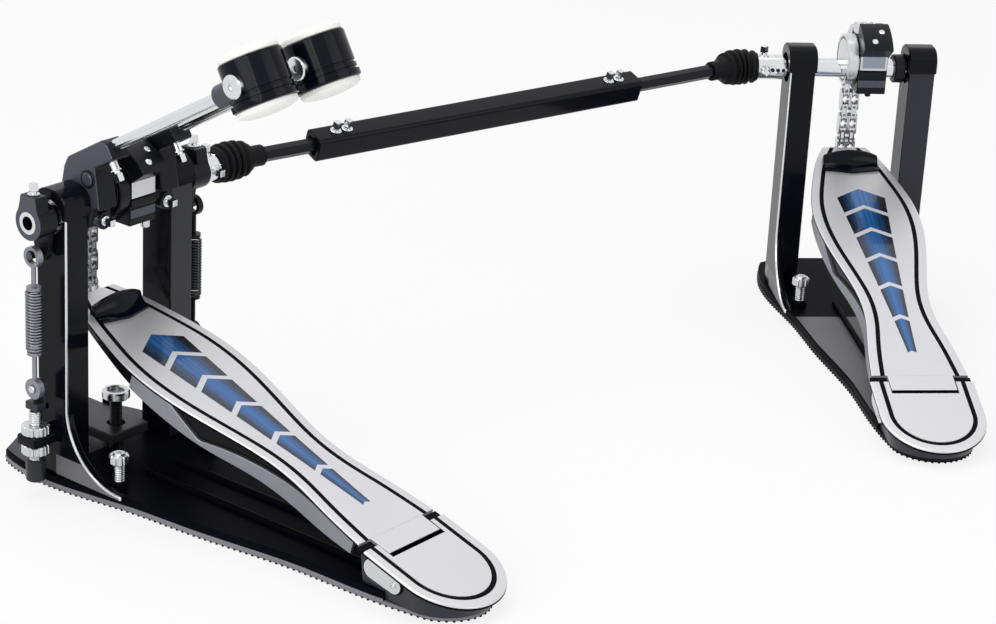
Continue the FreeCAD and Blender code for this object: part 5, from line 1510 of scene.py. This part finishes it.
class PEDAL_OT_key_screws(bpy.types.Operator):
    """Build the square-headed drive-key screws of all turning parts"""
    bl_idname = "pedal.key_screws"
    bl_label = "Drive-key screws"

    def execute(self, context):
        tree = key_screw_tree()
        groups = (("main", hub_keys(-1), MAIN, (lambda bm: key_necks(bm, -1), cam_screws)),
                  ("second", hub_keys(1) + yoke_keys("second"), MAIN, (lambda bm: key_necks(bm, 1),)),
                  ("slave", yoke_keys("slave"), SECOND, (cam_screws, yoke_and_collar)))
        for owner, keys, place, extras in groups:
            bm = shaped(*extras)
            bm.transform(place)
            mesh = key_screws(tree, keys, place)
            mesh.transform(Matrix.Scale(1 / MM, 4))
            bm.from_mesh(mesh)
            node = owner + "_screws"
            piece(node + "_set", bm, ("chromed_steel", "satin_black_zinc"), owner + "_axle", (node,),
                  sharp=30)
        return {"FINISHED"}


# Beaters

HEAD_REACH = 180.8
ROD_LINE = 25.2
ROD_RADIUS = 4.0
ROD_START = 8.0
ROD_LENGTH = 162.8
ROD_PROFILE = rounded(drum_profile(ROD_RADIUS, 0, ROD_LENGTH), 0.8, (1,))
HEAD_RADIUS = 19.5
HEAD_LENGTH = 29.0
# Side of the head over two grooves to its front: (growth of the radius, distance from the rim)
HEAD_ROWS = ((0.7, 0.0), (0.7, 4.0), (-1.0, 4.3), (-1.0, 5.3), (0.0, 5.6), (0.0, 8.0), (-1.0, 8.3),
             (-1.0, 9.3), (0.0, 9.6), (0.0, HEAD_LENGTH))
HEAD_PROFILE = rounded([(0, 0), *((HEAD_RADIUS + by, up) for by, up in HEAD_ROWS), (0, HEAD_LENGTH)],
                       1.2, (1, len(HEAD_ROWS)))
NECK_LENGTH = 14.5
NECK_PROFILE = tube_profile(4.1, 7.4, 0, NECK_LENGTH + 3.0, low_cut=(1.0, 1.0))
HEAD_SCREW_SINK = 1.0
HEAD_SCREW = ((0, 0), (7.2, 0), (7.2, 2.6), (6.4, 3.4), (2.4, 3.6), (2.2, 2.4), (0, 2.4))
FACE_RADIUS = 18.5
FACE_EDGE = 2.5
FACE_RISE = 4.0
FACE_STEPS = 8
FACE_PROFILE = [(0, 0), (FACE_RADIUS - 0.5, 0), (FACE_RADIUS, 0.5),
                *((FACE_RADIUS * math.cos(turn), FACE_EDGE + FACE_RISE * math.sin(turn))
                  for turn in spaced(0, math.pi / 2, FACE_STEPS)[:-1]), (0, FACE_EDGE + FACE_RISE)]


def head_ends(side):
    """Middle points of a head's two ends, the grooved one first."""
    centre = Vector((side * HUB_X, *swing(HEAD_REACH, ROD_LINE)))
    return [centre + SWING_SQUARE * (way * HEAD_LENGTH / 2) for way in (-1, 1)]


def build_rod(bm, side):
    foot = (side * HUB_X, *swing(ROD_START, ROD_LINE))
    lathe(bm, ROD_PROFILE, axis_place(foot, SWING_ALONG), segments=36)


def build_head(bm, side):
    """Head with two grooves, its neck on the rod and the bright screw on its left side."""
    rim, front = head_ends(side)
    centre = (rim + front) / 2
    left = Vector((-1, 0, 0))
    lathe(bm, HEAD_PROFILE, axis_place(rim, SWING_SQUARE), segments=72)
    neck = centre - SWING_ALONG * (HEAD_RADIUS + NECK_LENGTH)
    lathe(bm, NECK_PROFILE, axis_place(neck, SWING_ALONG), segments=40, material=2)
    screw = centre + left * (HEAD_RADIUS - HEAD_SCREW_SINK)
    lathe(bm, HEAD_SCREW, axis_place(screw, left), segments=40, material=1)


def build_faces(bm, side):
    for way, spot in zip((-1, 1), head_ends(side)):
        lathe(bm, FACE_PROFILE, axis_place(spot, SWING_SQUARE * way), segments=64)


class PEDAL_OT_beaters(bpy.types.Operator):
    """Build rods, grooved heads with a side screw, and domed faces"""
    bl_idname = "pedal.beaters"
    bl_label = "Beaters"

    def execute(self, context):
        head = ("polished_black_abs", "chromed_steel", "rubbed_slate_zinc")
        rows = (("_rod", build_rod, ("chromed_steel",), "_beater_rod", "bright_steel"),
                ("_head", build_head, head, "_beater_body", "beater_black"),
                ("_faces", build_faces, ("pressed_white_felt",), "_beater_faces", "beater_white"))
        for owner, side in BEATERS:
            for name, build, finishes, node, slot in rows:
                piece(owner + name, shaped(lambda bm: build(bm, side)), finishes, owner + "_beater",
                      (owner + node,))
        return {"FINISHED"}


# Return springs

SPRING_X = 68.5
COIL_LOW = 96.0
COIL_HIGH = 136.0
COIL_SLACK = 0.1
# Springs: name, side, finish of the wire, finish of the eyes. Both springs are the same parts: the left's
# lighter wire and eyes are painted light, the right's darker ones painted shade.
SPRINGS = (("left", -1, "drawn_spring_wire", "tumbled_aluminium"),
           ("right", 1, "oiled_spring_wire", "satin_black_zinc"))
POST_FACE = 54.25
BRACKET = (34.0, 41.0)
BRACKET_HALF = 8.0
BRACKET_END = 77.0
NUT_RADIUS = 8.8
NUT_HEIGHT = 6.0
NUT_GAP = 0.05
NUT_TEETH = 16
TENSION_HEAD = (57.0, 62.5)
TENSION_PLATE = (61.5, 65.5)
TENSION_HALF = 5.5
SPRING_PIVOT_Z = 71.0
SPRING_PIN_END = 72.0
SLEEVE = (9.5, 24.0)
SLEEVE_PROFILE = tube_profile(4.1, 6.2, *SLEEVE, (0.8, 0.8), (0.8, 0.8))
TENSION_ROD = [(0, SLEEVE[0]), *thread(4.0, SLEEVE[0], TENSION_HEAD[0]), (0, TENSION_HEAD[0])]
PIVOT_PROFILE = drum_profile(TENSION_HALF, 0, TENSION_PLATE[1] - TENSION_PLATE[0], (0.7, 0.7), (0.7, 0.7))
SPRING_PIN = drum_profile(2.5, 0, SPRING_PIN_END - TENSION_PLATE[0], high_cut=(0.5, 0.5))
# Blocks of a tensioner: inner and outer side, half depth, foot and top, edge, material
TENSION_BLOCKS = ((POST_FACE, BRACKET_END, BRACKET_HALF, *BRACKET, 1.4, 1),
                  (TENSION_PLATE[0], SPRING_PIN_END, TENSION_HALF, *TENSION_HEAD, 1.0, 2),
                  (*TENSION_PLATE, TENSION_HALF, TENSION_HEAD[0], SPRING_PIVOT_Z, 0.8, 2))


def build_tensioners(bm):
    """Bracket on the post, threaded rod with two knurled nuts and a sleeve, and the spring's holder."""
    for side in (-1, 1):
        spot = Matrix.Translation((side * SPRING_X, 0, 0))
        pivot = axis_place((side * TENSION_PLATE[0], 0, SPRING_PIVOT_Z), (side, 0, 0))
        for inner, outer, half, low, high, edge, material in TENSION_BLOCKS:
            left, right = across(side, inner, outer)
            block(bm, (left, -half, low), (right, half, high), edge=edge, material=material)
        lathe(bm, TENSION_ROD, spot, segments=28)
        lathe(bm, SLEEVE_PROFILE, spot, segments=36, material=2)
        for foot in (BRACKET[1], BRACKET[0] - NUT_HEIGHT):
            crown(bm, spot, NUT_RADIUS, foot + NUT_GAP, foot + NUT_HEIGHT - NUT_GAP, NUT_TEETH)
        lathe(bm, PIVOT_PROFILE, pivot, segments=36, material=2)
        lathe(bm, SPRING_PIN, pivot, segments=24)


def build_low_eye(bm, node):
    """The CAD spring's lower hook, without its plain coil."""
    softened(bm, node, 0.0)
    above = [vert for vert in bm.verts if vert.co.z > COIL_LOW - COIL_SLACK]
    bmesh.ops.delete(bm, geom=above, context="VERTS")


class PEDAL_OT_springs(bpy.types.Operator):
    """Build the return springs, their eyes and their tensioners"""
    bl_idname = "pedal.springs"
    bl_label = "Return springs"

    def execute(self, context):
        tree = coil_tree()
        for name, side, strand, metal in SPRINGS:
            node = name + "_spring"
            x = side * SPRING_X
            wire = sizes().wire_radius
            mesh = grow(tree, points_mesh([(0, 0, 0)]), turns=float(sizes().coil_turns),
                        coil_radius=sizes().coil_radius, wire_radius=wire,
                        height=(COIL_HIGH - COIL_LOW) * MM - 2 * wire, finish=finish(strand))
            mesh.transform(Matrix.Translation((x * MM, 0, COIL_LOW * MM + wire)))
            coil = dress(name + "_coil", mesh, (strand,), None, (), sharp=60)
            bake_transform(coil)
            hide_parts(name + "_spring")
            piece(name + "_low_eye", shaped(lambda bm: build_low_eye(bm, node)), (metal,), node, ())
            shell(node + "_eye", node + "_eye", (metal,), 0.4)
        finishes = ("nickel_plated_steel", "stoved_black_enamel", "semi_gloss_slate_enamel")
        piece("tensioners", shaped(build_tensioners), finishes, "frame", ("spring_tensioners",))
        return {"FINISHED"}


# Driveshaft

TUBE_LOW = 66.0
TUBE_HIGH = 342.0
TUBE_HALF = 8.5
TUBE_ROLL = math.radians(18.0)
TUBE_KEYS = (83.0, 92.0, 316.0, 325.0)
# Rings at each end of the tube: distance from the end, half width, corner radius
TUBE_END = ((3.0, 5.4, 2.2), (0.0, 5.6, 2.2), (0.0, TUBE_HALF - 0.5, 2.4), (0.5, TUBE_HALF, 2.8))
CORNER_STEPS = 4
BOOT_MOUTH = -14.0
BOOT_MOUTH_RADIUS = 10.2
BOOT_BEND = 8.0
BOOT_COLUMNS = 56
BOOT_VALLEYS = (10.4, 10.6, 10.8, 10.7, 10.2, 9.2)
BOOT_PEAKS = (12.0, 12.9, 13.2, 12.9, 11.8)
BOOT_PITCH = 5.5
# Round of a rib as (reach from its start, growth of its peak radius)
BOOT_RIB = ((1.1, -0.6), (1.8, -0.12), (2.6, 0.0), (3.4, -0.12), (4.1, -0.6))
BOOT_NECK_ROWS = ((15.8, 9.3), (17.4, 7.9), (18.4, 7.2), (19.2, 7.0), (26.2, 7.0), (27.0, 6.4))
BOOT_BORE = ((27.0, 5.28), (15.3, 5.28), (15.0, 8.3), (8.0, 10.2), (4.0, 10.2), (0.0, 10.2), (-4.0, 10.2),
             (-8.0, 10.2), (-11.0, 9.28), (BOOT_MOUTH, 9.28))

SHAFT_PLACE = (Matrix.Translation(MAIN_JOINT) @ Matrix.Rotation(math.atan2(SHAFT.y, SHAFT.x), 4, "Z")
               @ Matrix.Rotation(TUBE_ROLL, 4, "X"))


def boot_line(centre, axle_way, shaft_way, reach):
    """Point and direction of a boot's centre line, bent between axle and shaft."""
    if reach <= -BOOT_BEND:
        return centre - axle_way * reach, -axle_way
    if reach >= BOOT_BEND:
        return centre + shaft_way * reach, shaft_way
    share = (reach + BOOT_BEND) / (2 * BOOT_BEND)
    start = centre + axle_way * BOOT_BEND
    end = centre + shaft_way * BOOT_BEND
    spot = start * (1 - share) ** 2 + centre * (2 * share * (1 - share)) + end * share ** 2
    return spot, ((centre - start) * (1 - share) + (end - centre) * share).normalized()


def boot_outline():
    """Outer profile of a boot as (reach, radius): the mouth, a barrel of round ribs, the neck."""
    rows = [(BOOT_MOUTH, BOOT_MOUTH_RADIUS), (BOOT_MOUTH + 0.4, BOOT_VALLEYS[0])]
    for rib, (low, peak, high) in enumerate(zip(BOOT_VALLEYS, BOOT_PEAKS, BOOT_VALLEYS[1:])):
        start = BOOT_MOUTH + 0.8 + rib * BOOT_PITCH
        rows += [(start + 0.5, low + 0.2), *((start + along, peak + by) for along, by in BOOT_RIB),
                 (start + 4.8, high + 0.2), (start + 5.15, high)]
    return rows + list(BOOT_NECK_ROWS)


def build_boot(bm, centre, axle_way, shaft_way):
    """Ribbed boot, hollow, bent along the joint."""
    up = Vector((0, 0, 1))
    turns = spaced(0, 2 * math.pi, BOOT_COLUMNS)[:-1]
    rings = []
    for reach, radius in (*boot_outline(), *BOOT_BORE):
        spot, way = boot_line(centre, axle_way, shaft_way, reach)
        side = up.cross(way).normalized()
        rings.append([spot + side * (radius * math.cos(turn)) + up * (radius * math.sin(turn))
                      for turn in turns])
    loft(bm, rings + rings[:1], caps=False)


def tube_ring(x, half, corner):
    """A square with round corners across the tube."""
    spots = []
    for quarter, (u, v) in enumerate(((1, 1), (-1, 1), (-1, -1), (1, -1))):
        for turn in spaced(quarter * math.pi / 2, (quarter + 1) * math.pi / 2, CORNER_STEPS):
            spots.append(SHAFT_PLACE @ Vector((x, (half - corner) * u + corner * math.cos(turn),
                                               (half - corner) * v + corner * math.sin(turn))))
    return spots


def build_tube(bm):
    """Square tube with rolled corners and a bore that is closed just inside its ends."""
    low = [tube_ring(TUBE_LOW + inside, half, corner) for inside, half, corner in TUBE_END]
    high = [tube_ring(TUBE_HIGH - inside, half, corner) for inside, half, corner in TUBE_END[::-1]]
    loft(bm, low + high)


class PEDAL_OT_driveshaft(bpy.types.Operator):
    """Build the driveshaft's tube with its screws, its rods and the ribbed rubber boots"""
    bl_idname = "pedal.driveshaft"
    bl_label = "Driveshaft"

    def execute(self, context):
        piece("shaft_tube", shaped(build_tube), ("stoved_black_enamel",), "driveshaft", (),
              sharp=40)
        keys = [((x, 0, TUBE_HALF), (0, 0, 1)) for x in TUBE_KEYS]
        mesh = key_screws(bpy.data.node_groups["drive_key_screws"], keys, SHAFT_PLACE)
        dress("shaft_screws", mesh, ("chromed_steel",), "driveshaft", ("drive_tube",),
              sharp=30)
        shell("main_shaft_rod", "driveshaft", ("satin_black_zinc",), 0.3)
        shell("slave_shaft_rod", "slave_shaft", ("satin_black_zinc",), 0.3)
        second_way = SECOND.to_3x3() @ Vector((1, 0, 0))
        boots = ((MAIN_JOINT, Vector((-1, 0, 0)), SHAFT), (SECOND_JOINT, second_way, -SHAFT))
        for (prefix, body, _), joint in zip(PEDALS, boots):
            piece(prefix + "_bellows", shaped(lambda bm: build_boot(bm, *joint)), ("moulded_rubber",), body,
                  (prefix + "_boot",), sharp=50)
        return {"FINISHED"}


# CAD nodes that stay as they are

class PEDAL_OT_kept_nodes(bpy.types.Operator):
    """Give the chains and the joint crosses their metal"""
    bl_idname = "pedal.kept_nodes"
    bl_label = "Chains and crosses"

    def execute(self, context):
        names = ["main_cross", "slave_cross"]
        for prefix in ("main", "slave"):
            names += [prefix + "_chain_" + part for part in ("run", "link_1", "link_2", "link_3", "wrap")]
        for name in names:
            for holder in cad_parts[name].material_slots:
                holder.material = finish("nickel_plated_steel")
        return {"FINISHED"}


# Studio

CAMERA_PLACE = Vector((-1.1771, -1.22626, 0.77958))
CAMERA_TURN = math.radians(-51.94)
CAMERA_RISE = math.radians(21.52)
CAMERA_ROLL = math.radians(2.97)
CAMERA_LENS = 104.29
CAMERA_SENSOR = 36.0
FLOOR_HALF = 9.0
FLOOR_DROP = 0.0003
FLOOR_GLOW = 0.8
CAMERA_FAR = 50.0
ROOM_LEVEL = 0.45
LAMP_AIM = Vector((0.3, -0.1, 0.1))
# Soft lights: name, place and size in metres, power in watts
LAMPS = (("overhead_softbox", (0.2, 0.3, 2.2), (1.6, 1.6), 22),
         ("left_softbox", (-1.9, -0.3, 1.0), (1.4, 1.2), 14),
         ("front_fill", (0.6, -2.2, 1.2), (1.6, 1.2), 8),
         ("left_strip", (-1.5, -1.0, 0.9), (0.08, 1.4), 3))


def seen_directly(tree):
    """1 for rays from the camera and for those that metal and glass send on."""
    path = add(tree, "ShaderNodeLightPath").outputs
    first = add(tree, "ShaderNodeMath", links={0: path["Is Camera Ray"], 1: path["Is Glossy Ray"]},
                operation="MAXIMUM")
    return add(tree, "ShaderNodeMath", links={0: first.outputs[0], 1: path["Is Transmission Ray"]},
               operation="MAXIMUM").outputs[0]


def make_floor():
    # Seamless paper: white to the eye, and a faint soft shadow under the object.
    material = bpy.data.materials.new("seamless_paper")
    material.use_nodes = True
    tree = material.node_tree
    tree.nodes.clear()
    paper = add(tree, "ShaderNodeBsdfDiffuse", {"Color": (*colours().floor, 1)})
    glow = add(tree, "ShaderNodeEmission", {"Color": (1, 1, 1, 1), "Strength": 1.0})
    share = add(tree, "ShaderNodeMath", {1: FLOOR_GLOW}, {0: seen_directly(tree)}, operation="MULTIPLY")
    mix = add(tree, "ShaderNodeMixShader", links={0: share.outputs[0], 1: paper.outputs["BSDF"],
                                                  2: glow.outputs["Emission"]})
    add(tree, "ShaderNodeOutputMaterial", links={"Surface": mix.outputs["Shader"]})
    mesh = bpy.data.meshes.new("studio_floor")
    corners = [(x * FLOOR_HALF, y * FLOOR_HALF, -FLOOR_DROP)
               for x, y in ((-1, -1), (1, -1), (1, 1), (-1, 1))]
    mesh.from_pydata(corners, [], [(0, 1, 2, 3)])
    mesh.materials.append(material)
    floor = bpy.data.objects.new("studio_floor", mesh)
    bpy.context.scene.collection.objects.link(floor)


def make_world():
    """White to the eye, dimmer as a light."""
    world = bpy.data.worlds.new("studio")
    world.use_nodes = True
    bpy.context.scene.world = world
    tree = world.node_tree
    tree.nodes.clear()
    room = add(tree, "ShaderNodeBackground", {"Color": (1, 1, 1, 1), "Strength": ROOM_LEVEL})
    seen = add(tree, "ShaderNodeBackground", {"Color": (1, 1, 1, 1), "Strength": 1.0})
    mix = add(tree, "ShaderNodeMixShader", links={0: seen_directly(tree), 1: room.outputs["Background"],
                                                  2: seen.outputs["Background"]})
    add(tree, "ShaderNodeOutputWorld", links={"Surface": mix.outputs["Shader"]})


def make_lamp(name, place, size, power):
    data = bpy.data.lights.new(name, "AREA")
    data.shape = "RECTANGLE"
    data.size, data.size_y = size
    data.energy = power
    lamp = bpy.data.objects.new(name, data)
    lamp.location = place
    lamp.rotation_euler = (LAMP_AIM - Vector(place)).to_track_quat("-Z", "Y").to_euler()
    bpy.context.scene.collection.objects.link(lamp)


def make_camera():
    data = bpy.data.cameras.new("photo_camera")
    data.sensor_width = CAMERA_SENSOR
    data.lens = CAMERA_LENS
    data.clip_end = CAMERA_FAR
    level = math.cos(CAMERA_RISE)
    backward = Vector((math.sin(CAMERA_TURN) * level, -math.cos(CAMERA_TURN) * level,
                       math.sin(CAMERA_RISE)))
    right = Vector((math.cos(CAMERA_TURN), math.sin(CAMERA_TURN), 0))
    up = backward.cross(right)
    side = right * math.cos(CAMERA_ROLL) + up * math.sin(CAMERA_ROLL)
    top = up * math.cos(CAMERA_ROLL) - right * math.sin(CAMERA_ROLL)
    camera = bpy.data.objects.new("photo_camera", data)
    turn = Matrix((side, top, backward)).transposed().to_4x4()
    camera.matrix_world = Matrix.Translation(CAMERA_PLACE) @ turn
    bpy.context.scene.collection.objects.link(camera)
    bpy.context.scene.camera = camera


class PEDAL_OT_studio(bpy.types.Operator):
    """Set the floor, the soft lights and the camera"""
    bl_idname = "pedal.studio"
    bl_label = "Studio"

    def execute(self, context):
        context.scene.view_settings.view_transform = "Standard"
        make_floor()
        make_world()
        for lamp in LAMPS:
            make_lamp(*lamp)
        make_camera()
        return {"FINISHED"}


class PEDAL_OT_finishes(bpy.types.Operator):
    """Make all finishes"""
    bl_idname = "pedal.finishes"
    bl_label = "Finishes"

    def execute(self, context):
        make_finishes()
        return {"FINISHED"}


STEPS = (PEDAL_OT_finishes, PEDAL_OT_studio, PEDAL_OT_footboards, PEDAL_OT_heel_plates, PEDAL_OT_frames,
         PEDAL_OT_mats, PEDAL_OT_spurs, PEDAL_OT_toe_stops, PEDAL_OT_axles, PEDAL_OT_key_screws,
         PEDAL_OT_beaters, PEDAL_OT_springs, PEDAL_OT_clamp, PEDAL_OT_driveshaft, PEDAL_OT_kept_nodes)


class PEDAL_PT_pieces(bpy.types.Panel):
    """Lists the steps that dress the pedal"""
    bl_idname = "PEDAL_PT_pieces"
    bl_label = "Drum pedal"
    bl_space_type = "VIEW_3D"
    bl_region_type = "UI"
    bl_category = "Drum pedal"

    def draw(self, context):
        for step in STEPS:
            self.layout.operator(step.bl_idname)
        for group in (context.scene.pedal_sizes, context.scene.pedal_colours):
            for label in group.bl_rna.properties.keys():
                if label not in ("rna_type", "name"):
                    self.layout.prop(group, label)


CLASSES = (PedalColours, PedalSizes, *STEPS, PEDAL_PT_pieces)


def register():
    for item in CLASSES:
        bpy.utils.register_class(item)
    bpy.types.Scene.pedal_colours = PointerProperty(type=PedalColours)
    bpy.types.Scene.pedal_sizes = PointerProperty(type=PedalSizes)


def unregister():
    del bpy.types.Scene.pedal_sizes
    del bpy.types.Scene.pedal_colours
    for item in reversed(CLASSES):
        bpy.utils.unregister_class(item)


def main():
    register()
    for step in STEPS:
        group, name = step.bl_idname.split(".")
        getattr(getattr(bpy.ops, group), name)()


if __name__ == "__main__":
    main()
